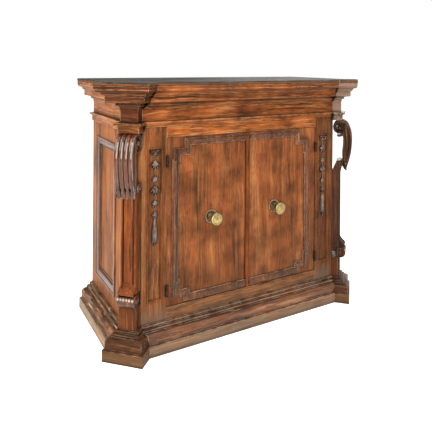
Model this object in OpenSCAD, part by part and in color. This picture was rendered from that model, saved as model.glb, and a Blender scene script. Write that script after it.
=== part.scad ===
// Walnut sideboard with canted corners, scroll consoles and a pair of doors.
// Millimetres, +Z up, the front faces -Y, the origin is on the floor under the middle of the case.

/* [Case] */
// Overall height, floor to top board
total_h = 1050; // [1000:5:1120]
// Width of the front between the two corner piers
front_w = 970; // [900:5:1060]
// Length of each side between its pier and the back
side_l = 435; // [390:5:480]
// Width of a corner pier
pier_w = 74; // [72:1:80]
// How far a pier block stands out from the canted corner
pier_out = 40; // [36:1:46]
// Thickness of the frames and case boards
frame_t = 28; // [26:1:29]
// Width of the inner ledge on the plinth that carries the floor board
ledge_w = 6; // [4:1:6]

/* [Plinth] */
// Height of the plinth
plinth_h = 108; // [100:1:118]
// How far the base band stands out from the case
plinth_over = 46; // [42:1:52]
// How far it stands out on the sides
plinth_side_over = 60; // [54:1:66]
// Height of the base band
base_band_h = 43; // [38:1:50]
// How far the fascia sits back from the base band
fascia_step = 8; // [5:0.5:9]
// Radius of the quarter round above the fascia
plinth_ovolo_r = 14; // [10:1:15]
// Radius of the two small beads at the top of the plinth
plinth_bead_r = 4; // [3:0.5:4.5]

/* [Necking, frieze and cornice] */
// Height of the necking on the piers and sides
neck_h = 38; // [32:1:44]
// How far that necking stands out
neck_over = 19; // [17:1:22]
// Radius of its hollow
neck_cove_r = 10; // [8:1:12]
// Height of the thinner necking on the front
front_neck_h = 21; // [18:1:26]
// How far the front necking stands out
front_neck_over = 10; // [9:1:12]
// Radius of the front hollow
front_cove_r = 5; // [4:0.5:6]
// Height of the frieze
frieze_h = 51; // [44:1:58]
// Height of the cornice
cornice_h = 92; // [88:1:100]
// How far the bed mould stands out
bed_over = 14; // [13:1:20]
// How far the corona stands out
corona_over = 44; // [40:1:48]
// How far the crown sits back from the edge of the top board
crown_back = 2; // [1:1:5]
// Radius of each half of the crown's double curve
crown_r = 10; // [8:1:11]
// How far the top board stands out from the case
top_over = 78; // [74:1:84]
// Thickness of the top board
top_t = 14; // [12:1:18]

/* [Front frame] */
// Width of each pilaster
pilaster_w = 105; // [100:1:120]
// Height of the rail under the doors
bottom_rail_h = 47; // [40:1:56]
// Height of the rail over the doors
top_rail_h = 65; // [58:1:74]
// Width of the sunk panel in a pilaster
sunk_w = 66; // [58:1:70]
// Distance of the sunk panel from the corner pier
sunk_margin = 23; // [18:1:26]
// Bottom of the sunk panel above the plinth
sunk_low = 78; // [70:1:90]
// Top of the sunk panel below the frieze
sunk_high = 101; // [92:1:112]
// Depth of the sunk panel
sunk_d = 6; // [4:0.5:8]
// Width of the moulding round the sunk panel
sunk_mould_w = 9; // [7:0.5:11]
// How far that moulding stands proud of the pilaster
sunk_proud = 3; // [2:0.5:5]

/* [Carved pendants] */
// Radius of each loop of the bow at the head of a pendant
bow_r = 10; // [8:0.5:12]
// Radius of the flower in the chain
flower_r = 13; // [11:0.5:15]
// Radius of the largest husk
husk_r = 14; // [11:0.5:15]
// Height of a husk
husk_h = 30; // [26:1:34]
// Spacing of the husks and the flower
husk_pitch = 50; // [46:1:52]
// Length of the drop that ends the chain
drop_h = 130; // [110:2:140]
// Radius of the drop at its widest
drop_r = 19; // [16:0.5:21]
// Radius of the stem between them
stem_r = 3; // [2.5:0.5:4]

/* [Sides and back] */
// Width of the side frame's rear stile
rear_stile_w = 69; // [60:1:84]
// Width of the side frame's front stile
front_stile_w = 103; // [90:1:112]
// Height of the side frame's bottom rail
side_bottom_h = 60; // [50:1:72]
// Height of the side frame's top rail
side_top_h = 101; // [88:1:110]
// Thickness of the side panel
side_panel_t = 12; // [9:1:14]
// How far the side panel sits behind the frame's face
side_panel_set = 9; // [7:0.5:12]
// Width of the moulding round the side panel
side_mould_w = 40; // [34:1:46]
// How far that moulding stands proud of the frame
side_proud = 6; // [4:0.5:8]
// Thickness of the back boards
back_t = 18; // [14:1:22]
// Number of back boards
back_n = 5; // [4:1:6]
// Thickness of the floor board
floor_t = 18; // [15:1:22]
// Thickness of the shelf
shelf_t = 20; // [16:1:24]
// Height of the shelf's top above the floor board
shelf_up = 364; // [300:4:420]
// Distance of the shelf's front edge behind the front of the case
shelf_front = 70; // [60:2:120]
// Clearance of the shelf in the case
fit_gap = 0.5; // [0.3:0.1:1]
// Size of the square bearers under the shelf
bearer = 22; // [18:1:26]

/* [Doors] */
// Thickness of the door boards
door_t = 20; // [18:1:24]
// How far the doors sit behind the front of the case
door_set = 2; // [1:0.5:4]
// Gap round each door
door_gap = 2; // [1.5:0.5:3]
// Distance of the doors' meeting line from the middle, to the left
seam_off = 10; // [8:0.5:12]
// Number of boards in a door
board_n = 3; // [2:1:4]
// Height of a batten on the back of a door
batten_h = 60; // [45:1:70]
// Thickness of a batten
batten_t = 20; // [16:1:24]
// Distance of a batten from the end of its door
batten_in = 52; // [40:1:64]
// Width of the applied moulding
mould_w = 30; // [28:1:34]
// Height of the moulding's ridge
mould_proud = 12; // [11:0.5:14]
// Radius of the moulding's hollow
mould_hollow_r = 5; // [4:0.5:6]
// Margin between the left door's outer edge and its moulding
left_margin = 20; // [16:1:30]
// Margin between the right door's outer edge and its moulding
right_margin = 34; // [26:1:40]
// Margin between the door's ends and the moulding
mould_end = 6; // [4:1:10]
// Width of the small step in each corner
step_small = 7; // [5:1:11]
// Width of the large step in each corner
step_large = 47; // [40:1:54]
// Height of the steps nearest the top in the upper corners
step_rise = 38; // [32:1:44]
// Height of the next steps down in the upper corners
step_drop = 42; // [34:1:48]
// Height of the steps nearest the bottom in the lower corners
step_foot = 22; // [20:1:30]
// Height of the next steps up in the lower corners
step_climb = 44; // [36:1:50]
// Width of the closing bead on the right door
bead_w = 19; // [16:1:22]
// How far the closing bead stands proud
bead_proud = 10; // [8:0.5:12]

/* [Hinges] */
// Height of a hinge
hinge_h = 45; // [39:3:60]
// Radius of a hinge knuckle
knuckle_r = 4.5; // [4:0.25:5.5]
// Radius of a hinge pin
pin_r = 2.5; // [2:0.1:3]
// Running clearance of the pin in its knuckle
pin_gap = 0.05; // [0.03:0.01:0.09]
// Gap between neighbouring knuckles
knuckle_gap = 0.3; // [0.2:0.05:0.5]
// Clearance of the knuckles in front of the case
hinge_clear = 0.5; // [0.4:0.1:1]
// Thickness of a hinge leaf
leaf_t = 1.8; // [1.4:0.1:2.2]
// Depth of a hinge leaf let into the wood
leaf_d = 17; // [12:1:19]
// Centre of the upper hinge below the top of its door
hinge_top = 92; // [80:1:110]
// Centre of the lower hinge above the bottom of its door
hinge_low = 64; // [54:1:80]

/* [Knobs] */
// Radius of a brass knob
knob_r = 26; // [22:0.5:28]
// How far a knob stands out from its door
knob_out = 57; // [50:1:62]
// Radius of the rose behind a knob
rose_r = 28; // [24:0.5:30]
// Thickness of the rose
rose_t = 9; // [7:0.5:11]
// Radius of a knob's spindle
spindle_r = 5; // [4:0.5:6]
// Clearance of the spindle in the door
spindle_gap = 0.4; // [0.3:0.1:0.6]
// Distance of the left knob from the middle of the case
left_knob_x = 178; // [150:1:200]
// Distance of the right knob from the middle of the case
right_knob_x = 143; // [130:1:180]
// Height of the knobs above the bottom of the doors
knob_z = 331; // [300:1:360]
// How far a spindle passes through the back of its door
spindle_tail = 12; // [9:1:16]
// Size of the square nut on a spindle
nut = 18; // [14:1:20]
// Thickness of the nut
nut_t = 7; // [5:0.5:8]

/* [Scroll consoles] */
// Height of the die under a console
die_h = 88; // [82:1:94]
// Width of a console's upper scroll
scroll_w = 78; // [72:1:80]
// Height of the upper scroll
scroll_h = 244; // [220:2:260]
// How far the upper scroll stands out from the canted corner
scroll_out = 93; // [88:1:98]
// Depth of the scroll's widest place below the necking
belly_down = 90; // [80:1:100]
// Radius of the scroll above its widest place
brow_r = 150; // [140:2:170]
// Radius of the scroll below its widest place
sweep_r = 398; // [360:2:440]
// Thickness of the upper scroll
sweep_t = 42; // [38:1:45]
// Radius of the top volute
top_volute_r = 31; // [27:1:32]
// Radius of the small volute at the head of the lower strip
mid_volute_r = 18; // [15:1:20]
// Radius of the bottom volute
low_volute_r = 28; // [25:1:30]
// Width of the lower strip
strip_w = 66; // [60:1:70]
// Thickness of the lower strip
strip_t = 35; // [31:1:38]
// How far the strip's middle panel stands out
strip_panel = 4; // [2:0.5:6]
// Radius of the beads along the strip's edges
strip_bead_r = 5; // [4:0.5:6]
// Number of reeds on the upper scroll
reed_n = 4; // [3:1:5]
// How far the spiral stands out on a volute's side
spiral_t = 3; // [2:0.5:4]

/* [Hidden] */
$fn = 48;

walnut = "#8a4f27";
dark_walnut = "#5a3018";
plank_walnut = "#9a5d33";
inner_wood = "#a87f55";
black_wood = "#3a302b";
brass = "#cbb067";
iron = "#2b2724";

// Plan of the case: half the front, and the tangents of a canted corner's mitres
half_w = front_w / 2;
diag = sqrt(1 / 2);
mitre_in = tan(22.5);
mitre_out = sqrt(2);
back_y = pier_w * diag + side_l;
front_reach = pier_out * diag + mitre_out * top_over;
total_d = front_reach + back_y;
inner_x = half_w + pier_w * diag - frame_t;
side_spread = plinth_side_over / plinth_over;
fillet = 2;
post_y = pier_w * diag;

// Levels, from the floor up
top_z = total_h - top_t;
cornice_z = top_z - cornice_h;
frieze_z = cornice_z - frieze_h;
die_z = plinth_h + die_h;
neck_z = frieze_z - neck_h;
opening_low = plinth_h + bottom_rail_h;
opening_high = frieze_z - top_rail_h;
opening_x = half_w - pilaster_w;
shelf_z = plinth_h + floor_t + shelf_up;

// Doors
door_low = opening_low + door_gap;
door_high = opening_high - door_gap;
door_x = opening_x - door_gap;
left_seam = -seam_off - door_gap / 2;
right_seam = -seam_off + door_gap / 2;
bead_seam = -right_seam - bead_w;
door_back = door_set + door_t;
batten_edge = 24;
joint_w = 0.8;
hinge_x = opening_x - door_gap / 2;
hinge_y = -knuckle_r - hinge_clear;
knuckle_h = (hinge_h - 2 * knuckle_gap) / 3;
hinge_zs = [door_low + hinge_low, door_high - hinge_top];
knob_mid = door_low + knob_z;

// Sunk panel of a pilaster
sunk_x = half_w - sunk_margin - sunk_w / 2;
sunk_z0 = plinth_h + sunk_low;
sunk_z1 = frieze_z - sunk_high;

// Window of a side frame
win_y0 = post_y + front_stile_w;
win_y1 = back_y - rear_stile_w;
win_z0 = plinth_h + side_bottom_h;
win_z1 = frieze_z - side_top_h;

// Mouldings
ovolo_z = plinth_h - 38;
low_bead = [plinth_over - 30, plinth_h - 17];
high_bead = [plinth_over - 40, plinth_h - 6];
bed_cove_r = 10;
bed_face = 10;
soffit_rise = 5;
crown_z = top_z - 14 - 2 * crown_r;
run_spare = 2 * top_over;

// Console, in its own frame: x out from the canted corner, y across it, z up
hook_gap = 4;
cap_gap = 7;
lean = 27;
belly_z = neck_z - belly_down;
leaf_z = neck_z - scroll_h;
volute_x = top_volute_r + hook_gap;
volute_z = neck_z - top_volute_r - cap_gap;
mid_volute_x = mid_volute_r + 20;
mid_volute_z = leaf_z + lean;
lean_z = leaf_z - lean;
low_volute_x = low_volute_r + 14;
low_volute_z = die_z + low_volute_r - fillet;
flare_z = low_volute_z + low_volute_r;
panel_z = flare_z + 1.5 * low_volute_r;
reed_r = scroll_w / reed_n / 2;
reed_gap = 0.4;

function arc(c, r, a0, a1, n = 6) = [for (i = [0:n]) let(a = a0 + (a1 - a0) * i / n) c + r * [cos(a), sin(a)]];

// Corners of the plan's left half, moved out by o: 0 front, 1 and 2 the pier's face, 3 side, 4 back.
// The side is moved out by o times spread.
function corner(k, o, spread = 1) = [
    [-half_w + mitre_in * o, -o],
    [-half_w - pier_out * diag, -pier_out * diag - mitre_out * o],
    [-half_w - (pier_out + pier_w) * diag - mitre_out * o, (pier_w - pier_out) * diag],
    [-half_w - pier_w * diag - spread * o, pier_w * diag + (mitre_out - spread) * o],
    [-half_w - pier_w * diag - spread * o, back_y]][k];
function flip(p) = [-p.x, p.y];

// Edges of the mouldings, from the bottom up: x out from the face of the case, y up from the floor
function plinth_edge() =
    let(fascia_x = plinth_over - fascia_step, low_x = low_bead.x + plinth_bead_r + 1,
        high_x = high_bead.x + plinth_bead_r)
    concat(
        [[plinth_over, 0], [plinth_over, base_band_h], [fascia_x, base_band_h + fillet]],
        arc([fascia_x - plinth_ovolo_r, ovolo_z], plinth_ovolo_r, 0, 90),
        [[low_x, ovolo_z + plinth_ovolo_r], [low_x, low_bead.y - plinth_bead_r]],
        arc(low_bead, plinth_bead_r, -90, 90),
        [[high_x, low_bead.y + plinth_bead_r], [high_x, high_bead.y - plinth_bead_r]],
        arc(high_bead, plinth_bead_r, -90, 90),
        [[fillet, high_bead.y + plinth_bead_r], [fillet, plinth_h]]);
function neck_edge(h, over, r, lip) = concat(
    [[over - r - fillet, frieze_z - h]],
    arc([over - fillet, frieze_z - lip - r], r, 180, 90),
    [[over, frieze_z - lip], [over, frieze_z]]);
function frieze_edge() = [[0, frieze_z], [0, cornice_z]];
function cornice_edge() =
    let(bed_z = cornice_z + bed_cove_r + 2 * fillet, soffit_z = bed_z + bed_face + soffit_rise,
        crown_x = top_over - crown_back - fillet - crown_r)
    concat(
        [[bed_over - fillet - bed_cove_r, cornice_z]],
        arc([bed_over - fillet, bed_z - bed_cove_r], bed_cove_r, 180, 90),
        [[bed_over, bed_z], [bed_over, bed_z + bed_face], [corona_over - fillet, soffit_z],
         [corona_over, soffit_z + fillet], [corona_over, crown_z - 3 * fillet],
         [corona_over + 2 * fillet, crown_z - 2 * fillet]],
        arc([crown_x, crown_z], crown_r, 180, 90),
        arc([crown_x, crown_z + 2 * crown_r], crown_r, -90, 0),
        [[top_over - crown_back, crown_z + 2 * crown_r + 1], [top_over - crown_back, top_z]]);
function nose_edge() = arc([top_over - top_t / 2, top_z + top_t / 2], top_t / 2, -90, 90, 8);
function closed(edge, back) = concat([[-back, edge[0].y]], edge, [[-back, edge[len(edge) - 1].y]]);

// Section of the moulding on a door: a point under the ridge, then from the outer edge inwards lip, hollow,
// round ridge, slope and bead
function door_mould_edge() =
    let(lip = mould_proud / 3, ridge = mould_proud / 4, ridge_x = fillet + mould_hollow_r + ridge,
        slope_r = mould_proud / 2)
    concat(
        [[ridge_x + 2 * fillet, 0], [0, 0], [0, lip]],
        arc([fillet, lip + mould_hollow_r], mould_hollow_r, -90, 0),
        arc([ridge_x, mould_proud - ridge], ridge, 180, 90, 3),
        arc([ridge_x + fillet, mould_proud - slope_r], slope_r, 90, 25, 4),
        arc([mould_w - fillet, fillet], fillet, 120, 0, 3),
        [[mould_w, 0]]);

// One straight run of moulding, mitred at both ends. The profile grows to the left of the run.
module mitred_run(base, near, far, profile, tall = total_h + 1) {
    d = base[1] - base[0];
    intersection() {
        translate([base[0].x, base[0].y, 0])
            rotate([90, 0, atan2(d.x, -d.y)])
                translate([0, 0, -run_spare])
                    linear_extrude(norm(d) + 2 * run_spare)
                        polygon(profile);
        translate([0, 0, -1])
            linear_extrude(tall + 1)
                polygon([near[0], far[0], far[1], near[1]]);
    }
}

// A straight run along the side or the front, with its back behind the face of the case
module side_run(edge, back, spread = 1) {
    out = top_over + 1;
    mitred_run([corner(3, 0), corner(4, 0)], [corner(3, -back, spread), corner(4, -back, spread)],
        [corner(3, out, spread), corner(4, out, spread)], [for (p = closed(edge, back)) [spread * p.x, p.y]]);
}

module front_run(edge, back) {
    out = top_over + 1;
    mitred_run([flip(corner(0, 0)), corner(0, 0)], [flip(corner(0, -back)), corner(0, -back)],
        [flip(corner(0, out)), corner(0, out)], closed(edge, back));
}

// The points of a moulding's edge, mitred at one corner of the plan
function ring(k, edge, spread = 1) = [for (p = edge) [each corner(k, p.x, spread), p.y]];
function ring_faces(n, m, whole) = [for (k = [0:whole ? n - 1 : n - 2], i = [0:m - 2])
    let (j = (k + 1) % n) [j * m + i, j * m + i + 1, k * m + i + 1, k * m + i]];

// A moulded block that breaks forward over the left pier, mitred at its four corners and flat behind
module pier_block(edge, back, spread = 1) {
    m = len(edge);
    last = 4 * m;
    behind = [for (k = [0, 3], z = [edge[0].y, edge[m - 1].y]) [each corner(k, -back, spread), z]];
    polyhedron(
        points = concat([for (k = [0:3]) each ring(k, edge, spread)], behind),
        faces = concat(ring_faces(4, m, false),
            [[last, last + 2, 3 * m, 2 * m, m, 0]],
            [[m - 1, 2 * m - 1, 3 * m - 1, 4 * m - 1, last + 3, last + 1]],
            [[last, last + 1, last + 3, last + 2]],
            [concat([for (i = [0:m - 1]) i], [last + 1, last])],
            [concat([last + 2, last + 3], [for (i = [m - 1:-1:0]) 3 * m + i])]));
}

// The left half of a plate over the whole plan, with a moulded edge
module half_plate(edge) {
    m = len(edge);
    rings = concat([for (k = [0:4]) ring(k, edge)],
        [[for (p = edge) [0, back_y, p.y]], [for (p = edge) [0, -p.x, p.y]]]);
    polyhedron(
        points = [for (r = rings) each r],
        faces = concat(ring_faces(7, m, true),
            [for (f = [[6, 5, 4, 3, 0], [3, 2, 1, 0]]) f * m],
            [for (f = [[0, 3, 4, 5, 6], [0, 1, 2, 3]]) [for (k = f) k * m + m - 1]]));
}

// Space over the left pier, where the top board's end is a piece of its own. It starts just past the inner mitres.
module over_pier() {
    spare = top_t * [diag, -diag];
    out = -2 * top_over * [diag, diag];
    start = -fillet * [diag, diag];
    near = corner(0, top_over) + start + spare;
    far = corner(3, top_over) + start - spare;
    translate([0, 0, top_z - 1])
        linear_extrude(top_t + 2)
            polygon([near, far, far + out, near + out]);
}

// Everything is drawn with the front of the case at y = 0, then moved so that the box is centred
module seat() {
    translate([0, front_reach - total_d / 2, 0])
        children();
}

module right_hand() {
    mirror([1, 0, 0])
        children();
}

// A closed ring of mitred moulding round a rectangle, lying flat, with its height along z
module flat_ring(x0, y0, x1, y1, w, profile, tall) {
    ring = function (o) [[x0 + o, y0 + o], [x1 - o, y0 + o], [x1 - o, y1 - o], [x0 + o, y1 - o]];
    for (i = [0:3]) {
        j = (i + 1) % 4;
        mitred_run([ring(0)[i], ring(0)[j]], [ring(0)[i], ring(0)[j]], [ring(w)[i], ring(w)[j]], profile, tall);
    }
}

// Plinth
module plinth_front() {
    color(walnut) seat()
        front_run(plinth_edge(), frame_t + ledge_w);
}

module plinth_side() {
    color(walnut)
        side_run(plinth_edge(), frame_t + ledge_w, side_spread);
}

module plinth_block() {
    color(walnut)
        pier_block(plinth_edge(), frame_t + ledge_w, side_spread);
}

module plinth_back_rail() {
    rail_x = inner_x + frame_t - (frame_t + ledge_w) * side_spread;
    color(inner_wood) seat()
        translate([-rail_x, back_y - frame_t, 0])
            cube([2 * rail_x, frame_t, plinth_h]);
}

module floor_board() {
    color(inner_wood) seat()
        translate([0, 0, plinth_h])
            linear_extrude(floor_t)
                polygon([[-half_w, frame_t], [half_w, frame_t], [inner_x, post_y], [inner_x, back_y - back_t],
                    [-inner_x, back_y - back_t], [-inner_x, post_y]]);
}

// Canted corner board
module post() {
    color(walnut)
        translate([0, 0, plinth_h])
            linear_extrude(frieze_z - plinth_h)
                polygon([[-half_w, 0], [-half_w, frame_t], [-inner_x, post_y], [-inner_x - frame_t, post_y]]);
}

// Front frame
module leaf_pocket(z) {
    translate([-opening_x - leaf_t, -1, z - hinge_h / 2])
        cube([leaf_t + 1, leaf_d + 1, hinge_h]);
}

module pilaster() {
    color(walnut)
        difference() {
            translate([-half_w, 0, plinth_h])
                cube([pilaster_w, frame_t, frieze_z - plinth_h]);
            translate([-sunk_x - sunk_w / 2, -1, sunk_z0])
                cube([sunk_w, sunk_d + 1, sunk_z1 - sunk_z0]);
            for (z = hinge_zs)
                leaf_pocket(z);
        }
}

module pilaster_moulding() {
    bead = sunk_mould_w / 3;
    color(dark_walnut)
        translate([0, sunk_d, 0])
            rotate([90, 0, 0])
                flat_ring(-sunk_x - sunk_w / 2, sunk_z0, -sunk_x + sunk_w / 2, sunk_z1, sunk_mould_w,
                    concat([[0, 0]], arc([bead, sunk_d + sunk_proud - bead], bead, 180, 0, 6),
                        [[sunk_mould_w, fillet], [sunk_mould_w, 0]]), 2 * sunk_d);
}

// Outlines of a husk and of the drop, in parts of their radius and height, and one of them hung at z
husk_form = [[0, 0.5], [0.5, 0.4], [0.85, 0.03], [1, -0.3], [0.8, -0.43], [0.55, -0.37], [0, -0.5]];
drop_form = [[0, 0], [0.3, -0.04], [0.42, -0.3], [0.7, -0.6], [1, -0.78], [0.9, -0.87], [0.4, -0.94]];
function hung(form, z, r, h) = [for (p = form) [max(stem_r, p.x * r), z + p.y * h]];

// A flat-backed ring of the bow, and the flower in the chain
module bow_loop() {
    rotate_extrude()
        polygon(arc([bow_r - stem_r, 0], stem_r, 0, 180, 6));
}

module flower() {
    rotate_extrude()
        polygon(concat([[0, 0]], arc([flower_r - 2 * stem_r, 0], 2 * stem_r, 0, 150, 8),
            arc([0, stem_r], stem_r, 0, 90, 4)));
}

// Chain of husks under a bow, carved in half relief, with a long drop at its end
module pendant() {
    bow_z = sunk_z1 - 2 * bow_r;
    first = bow_z - husk_pitch - bow_r;
    drop_z = first - 3 * husk_pitch - husk_h;
    color(dark_walnut)
        translate([-sunk_x, sunk_d, 0]) {
            rotate([0, 0, 180])
                rotate_extrude(angle = 180)
                    polygon(concat([[0, bow_z], [stem_r, bow_z]],
                        hung(husk_form, first, husk_r * 0.85, husk_h),
                        hung(husk_form, first - 2 * husk_pitch, husk_r, husk_h),
                        hung(husk_form, first - 3 * husk_pitch, husk_r * 0.7, husk_h),
                        hung(drop_form, drop_z, drop_r, drop_h), [[fillet, drop_z - drop_h], [0, drop_z - drop_h]]));
            rotate([90, 0, 0]) {
                for (side = [-1, 1])
                    translate([side * (bow_r - stem_r / 2), bow_z, 0])
                        bow_loop();
                translate([0, first - husk_pitch, 0])
                    flower();
            }
        }
}

module top_rail() {
    color(walnut) seat()
        translate([-opening_x, 0, opening_high])
            cube([2 * opening_x, frame_t, top_rail_h]);
}

module bottom_rail() {
    color(walnut) seat()
        translate([-opening_x, 0, plinth_h])
            cube([2 * opening_x, frame_t, bottom_rail_h]);
}

// Side frame, its panel and the moulding round the panel
module side_frame() {
    color(walnut)
        difference() {
            translate([-inner_x - frame_t, post_y, plinth_h])
                cube([frame_t, side_l, frieze_z - plinth_h]);
            translate([-inner_x - frame_t - 1, win_y0, win_z0])
                cube([frame_t + 2, win_y1 - win_y0, win_z1 - win_z0]);
        }
}

module side_panel() {
    color(plank_walnut)
        translate([-inner_x - frame_t + side_panel_set, win_y0, win_z0])
            cube([side_panel_t, win_y1 - win_y0, win_z1 - win_z0]);
}

module side_moulding() {
    rise = side_panel_set + side_proud;
    bead_r = side_mould_w / 8;
    hollow_r = side_mould_w * 0.6;
    lip = bead_r * 0.6;
    color(dark_walnut)
        translate([-inner_x - frame_t + side_panel_set, 0, 0])
            rotate([90, 0, -90])
                flat_ring(-win_y1, win_z0, -win_y0, win_z1, side_mould_w,
                    concat([[0, 0]], arc([bead_r, rise - bead_r], bead_r, 180, 0, 6),
                        [[side_mould_w * 0.34, rise - bead_r - 1]],
                        arc([side_mould_w * 0.75, hollow_r + lip], hollow_r, 229, 270, 5),
                        arc([side_mould_w - lip, lip], lip, 180, 0, 4), [[side_mould_w, 0]]),
                    rise + 1);
}

module back_boards() {
    board = 2 * inner_x / back_n;
    color(inner_wood) seat()
        for (i = [0:back_n - 1])
            translate([-inner_x + i * board, back_y - back_t, plinth_h])
                cube([board - 1, back_t, top_z - plinth_h]);
}

module shelf() {
    color(inner_wood) seat()
        translate([-inner_x + fit_gap, shelf_front, shelf_z - shelf_t])
            cube([2 * (inner_x - fit_gap), back_y - back_t - fit_gap - shelf_front, shelf_t]);
}

module shelf_bearers() {
    color(inner_wood) seat()
        for (side = [-1, 1])
            translate([side * (inner_x - bearer / 2) - bearer / 2, shelf_front, shelf_z - shelf_t - bearer])
                cube([bearer, back_y - back_t - shelf_front, bearer]);
}

// Corner pier: die, console and cap
module die() {
    color(dark_walnut)
        translate([0, 0, plinth_h])
            linear_extrude(die_h)
                polygon([corner(0, 0), corner(1, 0), corner(2, 0), corner(3, 0)]);
}

module cap() {
    color(walnut)
        pier_block(neck_edge(neck_h, neck_over, neck_cove_r, 8), 0);
}

function spiral(r0, r1, turns, n) = [for (i = [0:n])
    let(a = 90 - 360 * turns * i / n) (r0 + (r1 - r0) * i / n) * [cos(a), sin(a)]];
function spiral_band(r0, r1, turns, w, n) =
    let(inner = spiral(r0 - w, r1 - w, turns, n))
    concat(spiral(r0, r1, turns, n), [for (i = [n:-1:0]) inner[i]]);

// A slice of the console, centred across the pier
module across(w) {
    translate([0, -pier_w / 2 + w / 2, 0])
        rotate([90, 0, 0])
            linear_extrude(w)
                children();
}

// Section through the upper scroll: a flat back and reeds side by side on its outer face
function scroll_section(arc_r) = concat(
    [[arc_r - sweep_t, -scroll_w / 2]],
    [for (i = [0:reed_n - 1]) each arc([arc_r - reed_r, (i + 0.5 - reed_n / 2) * 2 * reed_r], reed_r, -84, 84, 8)],
    [[arc_r - sweep_t, scroll_w / 2]]);

// A stretch of the upper scroll, swept round a centre level with its widest place
module scroll_arc(arc_r, from, to) {
    translate([scroll_out - arc_r, -pier_w / 2, belly_z])
        rotate([90, 0, 0])
            rotate([0, 0, from])
                rotate_extrude(angle = to - from, $fn = 96)
                    polygon(scroll_section(arc_r));
}

// A roll across the console with a spiral on each side and an eye
module volute(x, z, r, w, turn) {
    translate([x, 0, z]) {
        across(w) circle(r);
        across(w + 2 * spiral_t) rotate(turn) polygon(spiral_band(r - 1, r / 3, 1.5, r / 6, 30));
        across(w + 2 * spiral_t + 2) circle(r / 5);
    }
}

// Rounded ends of the reeds, where the upper scroll stops over the strip
module reed_ends() {
    end = asin((scroll_h - belly_down) / sweep_r);
    reach = sweep_r - reed_r;
    end_x = scroll_out - sweep_r + reach * cos(end);
    end_z = belly_z - reach * sin(end);
    for (i = [0:reed_n - 1])
        translate([end_x, (2 * i + 1 - reed_n) * reed_r - pier_w / 2, end_z])
            sphere(r = reed_r - reed_gap, $fn = 24);
}

module strip_side() {
    translate([0, low_volute_z])
        square([strip_t, lean_z - low_volute_z]);
    polygon([[0, lean_z], [2 * hook_gap, lean_z + lean / 2], [mid_volute_x - mid_volute_r, mid_volute_z],
        [mid_volute_x + mid_volute_r - hook_gap, mid_volute_z - 2 * hook_gap],
        [strip_t + hook_gap, mid_volute_z - hook_gap], [strip_t, lean_z]]);
    polygon([[strip_t, flare_z + 3.5 * low_volute_r], [strip_t * 1.1, flare_z + 1.9 * low_volute_r],
        [strip_t * 1.25, flare_z + low_volute_r / 2], [low_volute_x, flare_z], [strip_t, low_volute_z]]);
}

module strip_beads() {
    reach = strip_w / 2 - strip_bead_r;
    for (y = [-reach, reach])
        translate([strip_t, y - pier_w / 2, panel_z])
            cylinder(h = lean_z - panel_z, r = strip_bead_r, $fn = 24);
}

module console() {
    color(dark_walnut)
        translate([-half_w, 0, 0])
            rotate([0, 0, 225])
                intersection() {
                    union() {
                        scroll_arc(brow_r, 0, asin(belly_down / (brow_r - sweep_t)) + 4);
                        scroll_arc(sweep_r, -asin((scroll_h - belly_down) / sweep_r), 0);
                        across(scroll_w / 2)
                            translate([scroll_out - sweep_t * 0.75, belly_z - sweep_t / 2])
                                square([sweep_t / 2, sweep_t]);
                        reed_ends();
                        volute(volute_x, volute_z, top_volute_r, scroll_w, 60);
                        volute(mid_volute_x, mid_volute_z, mid_volute_r, strip_w, 120);
                        volute(low_volute_x, low_volute_z, low_volute_r, strip_w + 4, 90);
                        across(strip_w) strip_side();
                        across(strip_w * 0.6)
                            translate([strip_t - 1, panel_z])
                                square([strip_panel + 1, lean_z - panel_z - 2 * hook_gap]);
                        strip_beads();
                    }
                    translate([0, -2 * pier_w, die_z])
                        cube([2 * scroll_out, 3 * pier_w, neck_z - die_z]);
                }
}

// Necking, frieze, cornice and top
module both_sides() {
    children();
    right_hand() children();
}

module front_necking() {
    color(walnut) seat()
        front_run(neck_edge(front_neck_h, front_neck_over, front_cove_r, 5), 0);
}

module side_neckings() {
    color(walnut) seat() both_sides()
        side_run(neck_edge(neck_h, neck_over, neck_cove_r, 8), 0);
}

module front_frieze() {
    color(walnut) seat()
        front_run(frieze_edge(), frame_t);
}

module side_friezes() {
    color(walnut) seat() both_sides()
        side_run(frieze_edge(), frame_t);
}

module frieze_blocks() {
    color(walnut) seat() both_sides()
        pier_block(frieze_edge(), frame_t);
}

module front_cornice() {
    color(walnut) seat()
        front_run(cornice_edge(), frame_t);
}

module side_cornices() {
    color(walnut) seat() both_sides()
        side_run(cornice_edge(), frame_t);
}

module cornice_blocks() {
    color(walnut) seat() both_sides()
        pier_block(cornice_edge(), frame_t);
}

module top_board() {
    color(black_wood) seat() both_sides()
        difference() {
            half_plate(nose_edge());
            over_pier();
        }
}

module top_corners() {
    color(black_wood) seat() both_sides()
        intersection() {
            half_plate(nose_edge());
            over_pier();
        }
}

// Hinges: the plates on the case carry the pins, the middle knuckles turn on them
module hinge_plate(z) {
    translate([-hinge_x, hinge_y, z]) {
        for (end = [-1, 1])
            translate([0, 0, end * (knuckle_h + knuckle_gap) - knuckle_h / 2])
                cylinder(h = knuckle_h, r = knuckle_r);
        translate([0, 0, -hinge_h / 2])
            cylinder(h = hinge_h, r = pin_r);
    }
    difference() {
        translate([-opening_x - leaf_t, hinge_y, z - hinge_h / 2])
            cube([leaf_t, leaf_d - hinge_y, hinge_h]);
        translate([-hinge_x, hinge_y, z - knuckle_h / 2 - knuckle_gap])
            cylinder(h = knuckle_h + 2 * knuckle_gap, r = knuckle_r + knuckle_gap);
    }
}

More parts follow.
